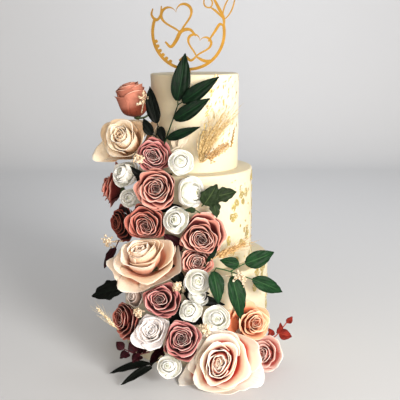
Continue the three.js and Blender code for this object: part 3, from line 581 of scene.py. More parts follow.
def united(parts):
    """One solid from overlapping ones, with its cut edges slightly softened."""
    for part in parts:
        turn_outward(part)
    group = bpy.data.collections.new("to_unite")
    for part in parts[1:]:
        group.objects.link(part)
    cut = parts[0].modifiers.new("unite", "BOOLEAN")
    cut.operation = "UNION"
    cut.operand_type = "COLLECTION"
    cut.collection = group
    cut.solver = "EXACT"
    cut.use_self = True
    soft = parts[0].modifiers.new("soft_edge", "BEVEL")
    soft.width = TOPPER["edge"] * MM
    soft.segments = 2
    soft.limit_method = "ANGLE"
    soft.angle_limit = math.radians(50)
    made = placed("gold_topper", applied(parts[0]))
    for part in parts:
        bpy.data.objects.remove(part)
    bpy.data.collections.remove(group)
    return made


GOLD_MIRROR = gold_mirror()
topper = united(topper_parts())
topper.data.shade_flat()
stand_in(topper, "topper")


# ---------------------------------------------------------------------------------------------- the blooms
# Artificial roses, ranunculus and peonies. Each petal is a disc of dyed polyester cloth, cut, pressed over a
# hot form so that it cups and its lip rolls back, and threaded on a wired stem from the heart outwards.
# Their stems are pushed into the icing, and where heads meet, their petals press flat.

BLOOMS = [  # centre, radius, azimuth and elevation that it faces, form, dye
    ("rose_salmon_bud", (-100, -25, 419), 24, -170, 74, "bud", "salmon_bud"),
    ("rose_cream_upper", (-109, -45, 357), 45, -117, 34, "open", "beige"),
    ("rose_mauve_upper", (-63, -85, 341), 26, -90, 14, "rose", "mauve"),
    ("ranunculus_white_1", (-21, -105, 333), 20.5, -80, 18, "button", "white"),
    ("rose_white_upper", (-110, -62, 309), 26, -130, 20, "button", "soft_white"),
    ("rose_white_small", (-103, -72, 271), 17, -108, 12, "button", "soft_white"),
    ("rose_salmon_upper", (-58, -112, 294), 32, -102, 12, "rose", "salmon"),
    ("ranunculus_white_2", (-9, -112, 289), 25.5, -44, 10, "button", "white"),
    ("rose_terracotta_side", (-135, -22, 275), 29, 174, 8, "rose", "terracotta"),
    ("rose_russet", (-116, -54, 224), 27, -140, 8, "rose", "russet"),
    ("rose_terracotta_middle", (-75, -105, 237), 30, -96, 11, "rose", "terracotta"),
    ("ranunculus_white_3", (-27, -120, 247), 21.5, -107, 14, "button", "white"),
    ("rose_salmon_middle", (9, -118, 220), 34, -88, 6, "rose", "salmon"),
    ("rose_peach_middle", (-75, -128, 180), 53, -102, 52, "open", "peach"),
    ("rose_pink_small", (1, -120, 180), 24, -84, 0, "rose", "salmon"),
    ("ranunculus_white_4", (2, -142, 154), 22, -82, 20, "button", "white"),
    ("rose_mauve_middle", (-51, -145, 125), 29, -98, 27, "pointed", "mauve"),
    ("blossom_white", (3, -138, 127), 17.5, -60, 42, "button", "white"),
    ("ranunculus_white_5", (-8, -150, 110), 19, -92, 18, "button", "white"),
    ("ranunculus_white_6", (32, -152, 98), 22, -86, 16, "button", "white"),
    ("blossom_greige", (-95, -120, 120), 17, -130, 20, "button", "greige"),
    ("rose_terracotta_lower", (-108, -125, 84), 29, -142, 15, "rose", "terracotta"),
    ("peony_white", (-67, -158, 79), 28.5, -108, 42, "pointed", "peony"),
    ("rose_mauve_lower", (-21, -172, 70), 29.5, -92, 28, "rose", "mauve"),
    ("rose_white_lower", (-40, -182, 32), 18.5, -98, 26, "button", "soft_white"),
    ("rose_cream_lower", (40, -168, 31), 53, -98, 30, "open", "coral_cream"),
    ("rose_apricot", (86, -118, 71), 32, -64, 24, "pointed", "apricot"),
    ("rose_pink_lower", (113, -132, 28), 27, -128, 22, "pointed", "dusty_pink"),
]

# Each dye from the heart outwards: the heart, deep between the petals, the petal, its lip, and the slot.
# In the darker roses the heart and the deep colour are near black: partly dye and partly painted shade down
# in the crowded heart and between the petals. The pale lip is partly dye and partly a painted highlight
# along the rolled edges.
CLOTH_DYES_AND_PAINTED_LIGHT = {
    "white": ("#e9efcd", "#f4f6ee", "#f7f9f8", "#fdfefe", "white_petal"),
    "soft_white": ("#e6ebd0", "#f1f3ec", "#f6f8f7", "#fdfefe", "white_petal"),
    "peony": ("#f4f0ef", "#efe9e9", "#f7f3f4", "#fdfbfb", "white_petal"),
    "greige": ("#aa9a90", "#a49388", "#e8dcd4", "#fcfcfa", "greige_petal"),
    "beige": ("#e6cdb2", "#cba585", "#f0dec6", "#fdf5e8", "cream_petal"),
    "peach": ("#f3dac6", "#d8a18b", "#f6e3d1", "#fdf6ec", "cream_petal"),
    "coral_cream": ("#fce8d4", "#d05a4c", "#fff5e6", "#fffcf6", "cream_petal"),
    "salmon": ("#3c1014", "#681f1e", "#eaa596", "#fdece3", "salmon_petal"),
    "salmon_bud": ("#7c4030", "#80402f", "#b87865", "#f6cdb9", "salmon_petal"),
    "terracotta": ("#310a0d", "#541716", "#cd7a6c", "#fcd5c9", "terracotta_petal"),
    "russet": ("#1c0508", "#28090a", "#85362f", "#c37662", "terracotta_petal"),
    "mauve": ("#351217", "#541d21", "#cd8584", "#fde8df", "mauve_petal"),
    "dusty_pink": ("#e2978e", "#d6857e", "#fddad1", "#fdfaf3", "mauve_petal"),
    "apricot": ("#c05b44", "#cf7a56", "#f9c19c", "#fdf0d8", "apricot_petal"),
}
# How far light sinks into a cloth, the tint of its duller petals, and how much lower its deep colour stops.
# Pale cloth lets more light through, and its deep colour, dye with painted shade, stays down between the
# petals.
CLOTH_DEPTH = {
    "white": (0.3, "#f6f4ee", 0.1), "soft_white": (0.3, "#f6f4ee", 0.1), "peony": (0.3, "#f6f4ee", 0.2),
    "beige": (0.5, "#ecdccb", 0.24), "peach": (0.5, "#ecdccb", 0.24),
    "coral_cream": (0.5, "#f6eadc", 0.14), "salmon_bud": (0.0, "#d3bfb6", 0.3),
    "dusty_pink": (0.2, "#e2d2cc", 0.1), "apricot": (0.1, "#dcc9be", 0.10),
}

# Each whorl of petals from the heart outwards: how many, how far out and how high the lip stands as shares
# of the bloom's radius, half the petal's width, its lean from upright and the roll of its lip in degrees.
WHORLS = {
    "rose": [(2, 0.05, 0.40, 140, -2, 10), (3, 0.12, 0.48, 112, -2, 20), (3, 0.20, 0.54, 100, 0, 28),
             (3, 0.29, 0.58, 92, 3, 38), (3, 0.39, 0.58, 86, 7, 50), (3, 0.50, 0.52, 82, 14, 60),
             (3, 0.63, 0.41, 76, 24, 70), (4, 0.78, 0.25, 62, 36, 76), (4, 0.95, 0.05, 60, 52, 80)],
    "pointed": [(2, 0.05, 0.48, 140, -2, 10), (3, 0.13, 0.55, 106, 0, 22), (3, 0.22, 0.58, 94, 3, 34),
                (3, 0.34, 0.56, 90, 8, 48), (3, 0.48, 0.48, 84, 16, 62), (3, 0.66, 0.34, 76, 30, 74),
                (4, 0.92, 0.06, 64, 50, 84)],
    "open": [(2, 0.04, 0.54, 150, -34, 0), (3, 0.11, 0.58, 122, -30, 6), (3, 0.20, 0.61, 114, -22, 20),
             (3, 0.32, 0.60, 108, -8, 36), (3, 0.48, 0.46, 100, 14, 52), (3, 0.70, 0.22, 90, 36, 62),
             (5, 0.98, -0.04, 54, 62, 30)],
    "button": [(2, 0.06, 0.50, 140, -30, 0), (3, 0.17, 0.56, 114, -34, 4), (3, 0.32, 0.58, 108, -30, 8),
               (3, 0.56, 0.46, 104, -20, 12), (4, 0.90, 0.08, 84, 6, 30)],
    "bud": [(2, 0.08, 1.16, 130, -6, 8), (3, 0.18, 1.22, 110, -4, 18), (3, 0.32, 1.24, 98, -4, 26),
            (3, 0.50, 1.18, 90, -4, 34), (3, 0.68, 1.06, 82, -3, 42), (4, 0.84, 0.90, 66, 0, 46),
            (4, 0.96, 0.56, 60, 6, 50)],
}
# The outermost petals of these roses were opened by hand: where each points, in degrees from the right as
# the head is seen, how far it reaches, half its width in degrees and how high its lip stands.
SPREAD = {
    "rose_terracotta_side": [(90, 1.28, 52, 0.0), (5, 0.92, 60, 0.04),
                             (182, 0.95, 60, 0.04), (-88, 0.95, 60, 0.04)],
    "rose_apricot": [(2, 0.94, 60, 0.06), (88, 0.96, 62, 0.05),
                     (172, 1.30, 46, -0.10), (-94, 0.95, 60, 0.05)],
    "rose_cream_upper": [(14, 1.16, 40, 0.10), (-42, 1.06, 44, 0.0), (-100, 1.0, 40, 0.0),
                         (-152, 1.10, 40, -0.04), (146, 0.98, 42, 0.00), (72, 0.98, 40, 0.06)],
    "rose_peach_middle": [(2, 1.12, 38, 0.06), (-50, 0.92, 46, -0.04), (-112, 0.90, 44, -0.04),
                          (-174, 0.86, 46, 0.0), (124, 0.82, 46, -0.02), (64, 0.84, 46, -0.02)],
    "rose_cream_lower": [(28, 1.02, 46, 0.02), (-32, 1.0, 42, -0.02), (-92, 1.0, 44, 0.0),
                         (-148, 1.16, 32, -0.20), (160, 0.86, 42, 0.02), (92, 0.92, 44, 0.02)],
}

# Each form, in shares of the bloom's radius: how high its petals are rooted, how far their lips roll over at
# the heart and further out, how pointed and how ruffled they are, and how oval the head's middle may be.
FORMS = {
    "rose": {"seat": -0.42, "roll": (0.02, 0.11), "point": 0.05, "ruffle": 0.042, "oval": (0.05, 0.2)},
    "pointed": {"seat": -0.40, "roll": (0.02, 0.13), "point": 0.10, "ruffle": 0.045, "oval": (0.05, 0.15)},
    "open": {"seat": -0.38, "roll": (0.05, 0.15), "point": 0.08, "ruffle": 0.046, "oval": (0.12, 0.24)},
    "button": {"seat": -0.42, "roll": (0.04, 0.10), "point": 0.0, "ruffle": 0.026, "oval": (0.0, 0.12)},
    "bud": {"seat": -1.0, "roll": (0.04, 0.12), "point": 0.02, "ruffle": 0.020, "oval": (0, 0.05)},
}
PETAL_THICK = 0.45
PETAL_FOLD = 0.76  # the share of a petal below its roll
PETAL_ROWS, PETAL_COLUMNS = 15, 17
PRESS_SOFT = 0.22  # over what share of the radius petals give way to the next head
MEET = 130  # heads further apart than this never meet
BASE_SOFT = 9  # mm above the board over which what would sink into it is pressed flat
STEM_WIRE = 1.6  # the taped wire behind a head
CUP = [(0.10, 0.05), (0.26, 0.02), (0.24, -0.06), (0.13, -0.15)]  # reach, and height from the petals' seat
CUP_SIDES, TUBE_SIDES = 20, 8


def facing(azimuth, elevation):
    """The direction that an azimuth and an elevation in degrees give."""
    e = math.radians(elevation)
    return around(azimuth, math.cos(e), math.sin(e))


def square_to(w):
    """Two unit vectors square to w."""
    hint = np.array([0, 1, 0]) if abs(w[2]) > 0.9 else np.array([0, 0, 1])
    u = unit(np.cross(hint, w))
    return u, np.cross(w, u)


def reach_of(bloom, direction):
    """How far a bloom reaches from its centre along a direction."""
    _, _, radius, azimuth, elevation, form, _ = bloom
    along = float(direction @ facing(azimuth, elevation))
    depth = 1.25 if form == "bud" else 0.62
    return radius * math.hypot(1.08 * math.sqrt(max(0, 1 - along * along)), depth * along)


def pressed(points, bloom, slack):
    """Petals that meet another head give way softly at the flat between the two."""
    centre, radius = np.array(bloom[1], float), bloom[2]
    for other in BLOOMS:
        between = np.array(other[1], float) - centre
        distance = np.linalg.norm(between)
        if other is bloom or distance > MEET:
            continue
        between /= distance
        mine, theirs = reach_of(bloom, between), reach_of(other, between)
        if mine + theirs < distance:
            continue
        limit = between @ centre + distance * mine / (mine + theirs) + slack
        soft = PRESS_SOFT * radius
        past = points @ between - limit + soft
        give = np.where(past > 0, past - soft * (1 - np.exp(-past / soft)), 0)
        points = points - give[:, None] * between
    return points


def clear_of_cake(points, gap=0.6):
    """Nothing reaches into a tier or below the base."""
    tier = np.clip(points[:, 2] // TIER_HEIGHT, 0, 2).astype(int)
    wall = np.array(TIER_RADII)[tier] + gap
    reach = np.hypot(points[:, 0], points[:, 1])
    push = np.where((reach < wall) & (points[:, 2] < 3 * TIER_HEIGHT), wall / np.maximum(reach, 1), 1)
    moved = points * np.stack([push, push, np.ones_like(push)], 1)
    low = moved[:, 2] < BASE_SOFT
    moved[low, 2] = BASE_SOFT * np.exp(np.maximum(moved[low, 2] - BASE_SOFT, -60) / BASE_SOFT)
    return moved


def both_sides(across, up):
    """The UVs of a shell: the same over its front and its back."""
    grid = np.stack(np.broadcast_arrays(across, up), -1)
    return np.tile(grid.reshape(-1, 2), (2, 1))


def petal(turn, reach, height, half, lean, curl, form, draw):
    """One petal as a grid of points in shares of the bloom's radius: from its foot, out in a cup, up to its
    lip and over in a roll. Its corners are rounded and its lip is ruffled."""
    across = np.linspace(-1, 1, PETAL_COLUMNS)[None, :]
    up = np.linspace(0, 1, PETAL_ROWS)[:, None] ** 0.85
    short = (0.10 + 0.22 * reach) * np.abs(across) ** 3.4
    rise = up * (1 - short)
    shape = FORMS[form]
    ruffle = shape["ruffle"] * (0.5 + reach)
    foot = np.array([0.05 + 0.2 * reach, shape["seat"] + 0.1 * (1 - reach)])
    lip = np.array([reach, height])
    lean = math.radians(lean + draw.normal(0, 2))
    bend = max(math.radians(curl * draw.uniform(0.8, 1.15)), 0.02)
    span = np.linalg.norm(lip - foot)
    belly = foot + span * (0.18 + 0.3 * reach) * np.array([1, 0.35])
    neck = lip - 0.42 * span * np.array([math.sin(lean), math.cos(lean)])
    t = np.minimum(rise / PETAL_FOLD, 1)[..., None]
    body = (1 - t) ** 3 * foot + 3 * t * (1 - t) ** 2 * belly + 3 * t * t * (1 - t) * neck + t ** 3 * lip
    over = np.maximum(rise - PETAL_FOLD, 0) / (1 - PETAL_FOLD)
    roll = shape["roll"][0] + shape["roll"][1] * reach
    out = body[..., 0] + roll / bend * (math.cos(lean) - np.cos(lean + bend * over))
    high = body[..., 1] + roll / bend * (np.sin(lean + bend * over) - math.sin(lean))
    phases = draw.uniform(0, 2 * math.pi, 4)  # of the three ripples below; the fourth isn't used
    wave = np.sin(1.5 * math.pi * across + phases[0]) + 0.4 * np.sin(3.4 * math.pi * across + phases[1])
    lift = ruffle * rise ** 3 * wave
    out = out + 0.8 * lift + 0.07 * across * (0.3 + reach)
    out = out + 0.6 * ruffle * rise ** 4 * np.sin(2.7 * math.pi * across + phases[2])
    out = out + shape["point"] * reach * rise ** 4 * (1 - np.abs(across)) ** 1.4
    high = high + 0.6 * lift + 0.08 * reach * rise ** 5 * (1 - np.abs(across))
    high = high - 0.10 * reach * across ** 2 * rise ** 2
    wide = 0.45 + 0.55 * np.sin(np.minimum(rise * 1.25, 1) * math.pi / 2)
    angle = turn + np.radians(half) * across * wide
    out = np.maximum(out, 0.012)
    points = np.stack([out * np.cos(angle), out * np.sin(angle), high], -1)
    return points, both_sides((across * wide + 1) / 2, rise)


def shell(grid, thickness):
    """A closed thin shell about a grid of points."""
    rows, columns = grid.shape[:2]
    normal = np.cross(np.gradient(grid, axis=1), np.gradient(grid, axis=0))
    normal /= np.maximum(np.linalg.norm(normal, axis=-1, keepdims=True), 1e-9)
    points = np.concatenate([(grid + side * normal * thickness / 2).reshape(-1, 3) for side in (1, -1)])
    index = np.arange(rows * columns).reshape(rows, columns)
    quads = np.stack([index[:-1, :-1], index[:-1, 1:], index[1:, 1:], index[1:, :-1]], -1).reshape(-1, 4)
    rim = np.concatenate([index[0, :-1], index[:-1, -1], index[-1, :0:-1], index[:0:-1, 0]])
    after = np.roll(rim, -1)
    back = rows * columns
    sides = np.stack([after, rim, rim + back, after + back], -1)
    return points, np.concatenate([quads, quads[:, ::-1] + back, sides]).tolist()


def smooth_line_3d(points, steps):
    """A smooth line through two or more points in space."""
    points = np.asarray(points, float)
    if len(points) == 2:
        return np.linspace(points[0], points[1], steps)
    return smooth_line(points, steps)


def circle_about(way, sides):
    """Points on a circle of radius one, square to a direction."""
    u, v = square_to(way)
    turns = 2 * np.pi * np.arange(sides) / sides
    return np.outer(np.cos(turns), u) + np.outer(np.sin(turns), v)


def tube(points, radius, tip_radius, steps=20):
    """A closed round rod along a smooth line, as points and faces."""
    line = smooth_line_3d(points, steps)
    reach = np.linspace(radius, tip_radius, steps)
    rings = [place + size * circle_about(way, TUBE_SIDES)
             for place, way, size in zip(line, run_of(line), reach)]
    return ringed(rings, line[0], line[-1])


def stem_tip(bloom):
    """Where a bloom's wired stem goes into the icing: level with its back and straight in to the axis."""
    centre, radius = np.array(bloom[1], float), bloom[2]
    back = centre - 0.7 * radius * facing(*bloom[3:5])
    wall = TIER_RADII[min(2, int(centre[2] // TIER_HEIGHT))] + 1
    reach = math.hypot(back[0], back[1])
    if reach <= wall:
        return back
    return np.array([back[0] * wall / reach, back[1] * wall / reach, max(back[2], 2 * STEM_WIRE)])


def cup_and_stem(bloom):
    """The green cup behind a head, and the taped wire that runs from it into the icing."""
    _, centre, radius, azimuth, elevation, form, _ = bloom
    centre, w = np.array(centre, float), facing(azimuth, elevation)
    seat = FORMS[form]["seat"] * radius
    turned = [(reach * radius, seat + rise * radius) for reach, rise in CUP]
    turned.append((STEM_WIRE, seat - 0.22 * radius))
    circle = circle_about(w, CUP_SIDES)
    rings = [centre + reach * circle + height * w for reach, height in turned]
    ends = [centre + height * w for _, height in (turned[0], turned[-1])]
    back, tip = centre + (seat - 0.12 * radius) * w, stem_tip(bloom)
    middle = back + 0.5 * (tip - back) - 0.12 * np.linalg.norm(tip - back) * w
    stem = tube([back, middle, tip + 1.5 * unit(tip - back)], STEM_WIRE, STEM_WIRE, steps=10)
    return [ringed(rings, *ends, downward=True), stem]


def pulled_oval(grid, oval, lie, drift):
    """A head's middle is a little oval and never quite in the middle. The rim keeps its place."""
    fade = np.maximum(1 - (grid[..., 0] ** 2 + grid[..., 1] ** 2), 0)
    c, s = math.cos(lie), math.sin(lie)
    long, wide = c * grid[..., 0] + s * grid[..., 1], c * grid[..., 1] - s * grid[..., 0]
    long, wide = long * (1 + oval * fade), wide * (1 - oval * fade)
    x, y = c * long - s * wide + drift[0] * fade, s * long + c * wide + drift[1] * fade
    return np.stack([x, y, grid[..., 2]], -1)


class Skins:
    """Gathers closed skins, kept clear of the cake, into one piece with a UV map and values on its points."""

    def __init__(self):
        self.points, self.faces, self.finishes, self.uvs, self.marks = [], [], [], [], []
        self.total = 0

    def add(self, skin, faces, uv, finish=0, marks=()):
        """A skin, its UVs, which of the piece's materials it has, and its values."""
        self.points.append(clear_of_cake(skin))
        self.faces += [[corner + self.total for corner in face] for face in faces]
        self.finishes += [finish] * len(faces)
        self.uvs.append(np.broadcast_to(uv, (len(skin), 2)))
        self.marks.append(np.broadcast_to(marks, (len(skin), len(marks))))
        self.total += len(skin)

    def piece(self, name, materials, uv_name, mark_names=()):
        """The piece, once everything is added."""
        made = new_piece(name, np.concatenate(self.points), self.faces, *materials)
        made.data.polygons.foreach_set("material_index", self.finishes)
        corners = np.zeros(len(made.data.loops), int)
        made.data.loops.foreach_get("vertex_index", corners)
        uvs = made.data.uv_layers.new(name=uv_name)
        uvs.data.foreach_set("uv", np.concatenate(self.uvs)[corners].ravel())
        for key, values in zip(mark_names, np.concatenate(self.marks).T):
            made.data.attributes.new(key, "FLOAT", "POINT").data.foreach_set("value", values.ravel())
        return made


def bloom_skins(bloom, number):
    """All of a bloom's petals, whorl by whorl, with each one's ring and shade, and its cup and stem."""
    name, centre, radius, azimuth, elevation, form, _ = bloom
    draw = np.random.default_rng(100 + number)
    w = facing(azimuth, elevation)
    basis = np.stack([*square_to(w), w]) * radius
    skins = Skins()
    spin = draw.uniform(0, 2 * math.pi)
    oval, lie = draw.uniform(*FORMS[form]["oval"]), draw.uniform(0, math.pi)
    drift = 0.07 * draw.normal(0, 1, 2).clip(-1.3, 1.3)
    outermost = len(WHORLS[form]) - 1
    for ring, (count, reach, height, half, lean, curl) in enumerate(WHORLS[form]):
        spin += 1.1 + draw.uniform(-0.2, 0.2)
        laid = [(spin + 2 * math.pi * k / count + draw.normal(0, 0.05), reach * draw.uniform(0.93, 1.07),
                 half * draw.uniform(0.92, 1.08), height + draw.normal(0, 0.018)) for k in range(count)]
        if ring == outermost and name in SPREAD:
            laid = [(math.radians(turn), far, wide, lip) for turn, far, wide, lip in SPREAD[name]]
        for turn, lip_reach, half_width, lip_height in laid:
            grid, uv = petal(turn, lip_reach, lip_height, half_width, lean, curl, form, draw)
            grid = pulled_oval(grid, oval, lie, drift) @ basis + np.array(centre)
            skin, quads = shell(grid, PETAL_THICK)
            skin = pressed(skin, bloom, draw.uniform(-1.5, 1.5))
            skins.add(skin, quads, uv, marks=(ring / outermost, draw.uniform(0, 1)))
    for skin, faces in cup_and_stem(bloom):
        skins.add(skin, faces, (0, 0), finish=1, marks=(0, 0))
    return skins


def petal_cloth(dye):
    """Dyed polyester cloth: matt, with a soft sheen at glancing light, deeper in colour between the petals
    and paler along the lips, and creased lengthways where the hot form drew it out. The deep colour is partly
    dye and partly painted shade down between the petals and in the heart; the pale lip is partly dye and
    partly a painted highlight."""
    heart_dye_and_shade, deep_dye_and_shade, middle, lip, _ = CLOTH_DYES_AND_PAINTED_LIGHT[dye]
    glow, dull, lower = CLOTH_DEPTH.get(dye, (0.0, "#cbb9b2", 0.0))
    material, tree = new_material("dyed_cloth_" + dye)
    uv = node(tree, "ShaderNodeUVMap", uv_map="petal").outputs["UV"]
    place = object_place(tree)
    up = node(tree, "ShaderNodeSeparateXYZ", {0: uv}).outputs["Y"]
    ring = painted(tree, "ring")
    shade = painted(tree, "shade")
    drawn = node(tree, "ShaderNodeMapping", {"Vector": uv, "Scale": (64, 3.2, 1)}).outputs["Vector"]
    veins = noise(tree, drawn, 1.0, 4.0, 0.6)
    weave = noise(tree, place, 900, 2.0)  # threads drawn about 1 mm apart, as finer ones don't show
    deep_shade_to = step(tree, ring, 0.1, 1.0, 0.90 - lower, 0.76 - lower)  # the deep colour, dye with painted shade, reaches higher up the inner petals, whose wells are deeper
    above = maths(tree, "SUBTRACT", up, deep_shade_to)
    # Painted shade in part: below the deep line each petal takes the deep colour, down where the next petals
    # shade it.
    colour = blend(tree, step(tree, above, -0.07, 0.10), linear(deep_dye_and_shade), linear(middle))
    # Painted highlight in part: the rolled lip at the top of each petal is paler.
    colour = blend(tree, step(tree, up, 0.95, 1.0), colour, linear(lip))
    # The inner whorls take the heart colour: pale green in the whites, and in the darker roses a dark maroon
    # that is partly dye and partly painted shade.
    colour = blend(tree, step(tree, ring, 0.42, 0.0, 0.0, 0.85), colour, linear(heart_dye_and_shade))
    dim = blend(tree, 1.0, colour, linear(dull), "MULTIPLY")
    colour = blend(tree, step(tree, shade, 0.3, 1.0, 0.0, 0.8), colour, dim)
    colour = blend(tree, step(tree, veins, 0.45, 0.75, 0.0, 0.5), colour, dim)
    relief = blend(tree, 0.3, veins, weave)
    shine(tree, {"Base Color": colour, "Roughness": 0.8, "Specular IOR Level": 0.2, "Subsurface Weight": glow,
                 "Subsurface Radius": (0.0016, 0.0014, 0.0012), "Subsurface Scale": 1.0,
                 "Sheen Weight": 0.03, "Sheen Roughness": 0.5}, bump=relief, depth=0.3)
    return material


def floral_tape():
    """Stem tape and moulded cups: matt olive green, with crepe about 2 mm apart."""
    return mottled("floral_tape_green", 500, ("#2c3a22", "#4c5c34"), 2.0, {"Roughness": 0.7}, depth=0.2)


CLOTHS = {dye: petal_cloth(dye) for dye in CLOTH_DYES_AND_PAINTED_LIGHT}
TAPE = floral_tape()
for number, bloom in enumerate(BLOOMS):
    name, dye = bloom[0], bloom[-1]
    skins = bloom_skins(bloom, number)
    piece = skins.piece("petals_" + name, [CLOTHS[dye], TAPE], "petal", ("ring", "shade"))
    stand_in(piece, name)


# ---------------------------------------------------------------------------------------------- the leaves
# Artificial ruscus, ivy and eucalyptus. Each leaf is stamped from waxed green cloth over an embossed form
# that gives it a folded midrib and side veins, and is glued with its stalk to a wire stem.

# Each sprig: its finish, the azimuth and elevation that it faces, how toothed its leaves are, the points of
# its stems, and the base, tip and width of each leaf. The backing leaves, near black and burgundy, show only
# in
# the gaps between heads: they are partly leaves and partly painted shade, a dark layer where those gaps lie
# in shade. The solids go without the last two, three and four of them.
SPRIGS = [
    ("ruscus_upper", "ruscus_dark", (-80, 10), 0, [[(-47, -90, 360), (-36, -87, 390), (-25, -84, 420)]], [
        ((-26, -83, 426), (-13, -80, 497), 29), ((-18, -88, 424), (38, -88, 462), 23),
        ((-30, -92, 398), (24, -92, 430), 23), ((-42, -93, 369), (9, -93, 387), 15)]),
    ("dark_sprig_upper", "nearly_black", (-110, 5), 0,
     [[(-62, -74, 366), (-59, -75, 376), (-57, -75, 386)]], [
        ((-58, -74, 391), (-69, -62, 447), 23), ((-53, -78, 386), (-46, -86, 362), 15),
        ((-66, -72, 372), (-80, -66, 398), 17)]),
    ("ivy_middle", "ivy", (-70, 15), 0.16, [[(10, -112, 266), (26, -110, 279)]], [
        ((14, -117, 270), (34, -117, 302), 34), ((30, -107, 280), (65, -98, 286), 25),
        ((27, -112, 275), (34, -118, 249), 20)]),
    ("ruscus_lower", "ruscus_green", (-70, 15), 0,
     [[(32, -142, 176), (54, -136, 168), (88, -118, 149)], [(54, -136, 168), (74, -124, 175)]], [
        ((68, -126, 176), (38, -128, 184), 18), ((78, -122, 176), (124, -108, 190), 27),
        ((90, -116, 148), (140, -100, 120), 24), ((56, -142, 162), (70, -149, 94), 28),
        ((27, -152, 174), (35, -165, 126), 25)]),
    ("dark_leaf_left", "nearly_black", (-110, 35), 0.14, [[(-104, -106, 138), (-110, -109, 136)]], [
        ((-114, -111, 134), (-168, -100, 114), 34)]),
    ("dark_sprig_lower", "nearly_black", (-110, 60), 0, [[(-56, -156, 32), (-66, -166, 30)]], [
        ((-72, -166, 29), (-137, -150, 3), 15), ((-68, -172, 26), (-115, -187, 3), 15)]),
    ("burgundy_leaf_left", "burgundy", (-130, 10), 0.12, [[(-122, -88, 206), (-126, -93, 198)]], [
        ((-127, -95, 194), (-146, -100, 162), 18)]),
    ("burgundy_leaf_middle", "burgundy", (-90, 15), 0, [[(-14, -103, 182), (-20, -105, 190)]], [
        ((-22, -106, 193), (-50, -110, 222), 26)]),
    ("burgundy_sprig", "burgundy", (-110, 45), 0, [[(-72, -152, 42), (-90, -160, 42), (-110, -160, 50)]], [
        ((-86, -164, 42), (-97, -179, 38), 18), ((-94, -157, 44), (-102, -152, 62), 17),
        ((-104, -164, 46), (-116, -176, 43), 16), ((-112, -160, 51), (-124, -154, 60), 14)]),
    ("red_bud_sprig", "dried_red", (-60, 20), 0, [[(112, -102, 32), (130, -103, 44), (148, -97, 64)]], [
        ((122, -105, 42), (118, -112, 62), 16), ((134, -104, 50), (137, -109, 70), 13),
        ((136, -101, 48), (157, -103, 43), 18), ((149, -97, 65), (158, -95, 75), 11)]),
    ("bleached_leaves", "bleached", (-75, 10), 0, [[(-36, -92, 350), (-29, -93, 355)]], [
        ((-32, -88, 354), (-30, -76, 386), 13), ((-24, -91, 354), (-8, -79, 386), 14)]),
    ("ivy_small", "ivy", (-80, 20), 0.12, [[(8, -119, 257), (3, -123, 262)]], [
        ((1, -125, 263), (-16, -134, 266), 10)]),
    ("narrow_leaf", "ruscus_dark", (-60, 20), 0, [[(14, -136, 176), (17, -136, 181)]], [
        ((18, -136, 184), (35, -130, 207), 8)]),
    # The three backing sprigs are partly painted shade: dark leaves that darken the gaps between heads.
    ("backing_leaves_upper", "nearly_black", (-120, 8), 0,
     [[(-60, -81, 300), (-63, -79, 272), (-58, -82, 244)]], [
        ((-61, -84, 298), (-34, -104, 316), 20), ((-65, -81, 292), (-95, -60, 304), 24),
        ((-60, -86, 266), (-28, -108, 264), 24), ((-62, -84, 252), (-88, -66, 256), 22),
        ((-72, -84, 300), (-101, -88, 326), 16), ((-60, -90, 262), (-20, -118, 268), 13)]),
    ("backing_leaves_middle", "nearly_black", (-100, 8), 0,
     [[(-20, -127, 150), (-24, -127, 120), (-20, -128, 88)]], [
        ((-22, -130, 148), (-40, -130, 182), 22), ((-26, -131, 112), (-54, -124, 98), 24),
        ((-20, -131, 102), (14, -138, 82), 24), ((-18, -128, 142), (22, -132, 130), 18),
        ((-18, -129, 130), (46, -133, 112), 20), ((-21, -130, 106), (-40, -138, 74), 24)]),
    ("backing_leaves_lower", "burgundy", (-122, 10), 0,
     [[(-66, -110, 104), (-66, -110, 80), (-69, -108, 48)]], [
        ((-67, -113, 94), (-68, -124, 126), 20), ((-69, -111, 64), (-108, -98, 42), 26),
        ((-69, -111, 54), (-50, -132, 24), 26), ((-69, -118, 52), (-99, -142, 60), 18),
        ((-68, -118, 48), (-94, -146, 32), 20), ((-62, -122, 44), (-82, -158, 42), 18),
        ((-54, -130, 34), (-72, -160, 22), 18)]),
]

# Each leaf finish: its edge, its face, its veins, its gloss, and the slot.
LEAF_FINISHES = {
    "ruscus_dark": ("#04130a", "#08210f", "#1b4024", 0.48, "green_leaf"),
    "ruscus_green": ("#0e2915", "#183d1f", "#44693f", 0.46, "green_leaf"),
    "ivy": ("#1c2817", "#2a3a22", "#56663f", 0.55, "green_leaf"),
    "nearly_black": ("#050806", "#0a100c", "#18241c", 0.5, "dark_leaf"),
    "burgundy": ("#1c060b", "#330d15", "#5c262d", 0.55, "burgundy_leaf"),
    "dried_red": ("#561511", "#8a2a20", "#b2543c", 0.6, "red_bud"),
    "bleached": ("#b3a592", "#d0c3ae", "#e0d6c6", 0.75, "pale_leaf"),
}
STEM_RADIUS = 1.1
LEAF_THICK = 0.7
LEAF_ROWS, LEAF_COLUMNS = 34, 15
SIDE_VEINS = 9.0
VEIN_SLANT = 0.7  # how far a side vein runs up the leaf, for each leaf's width that it runs across


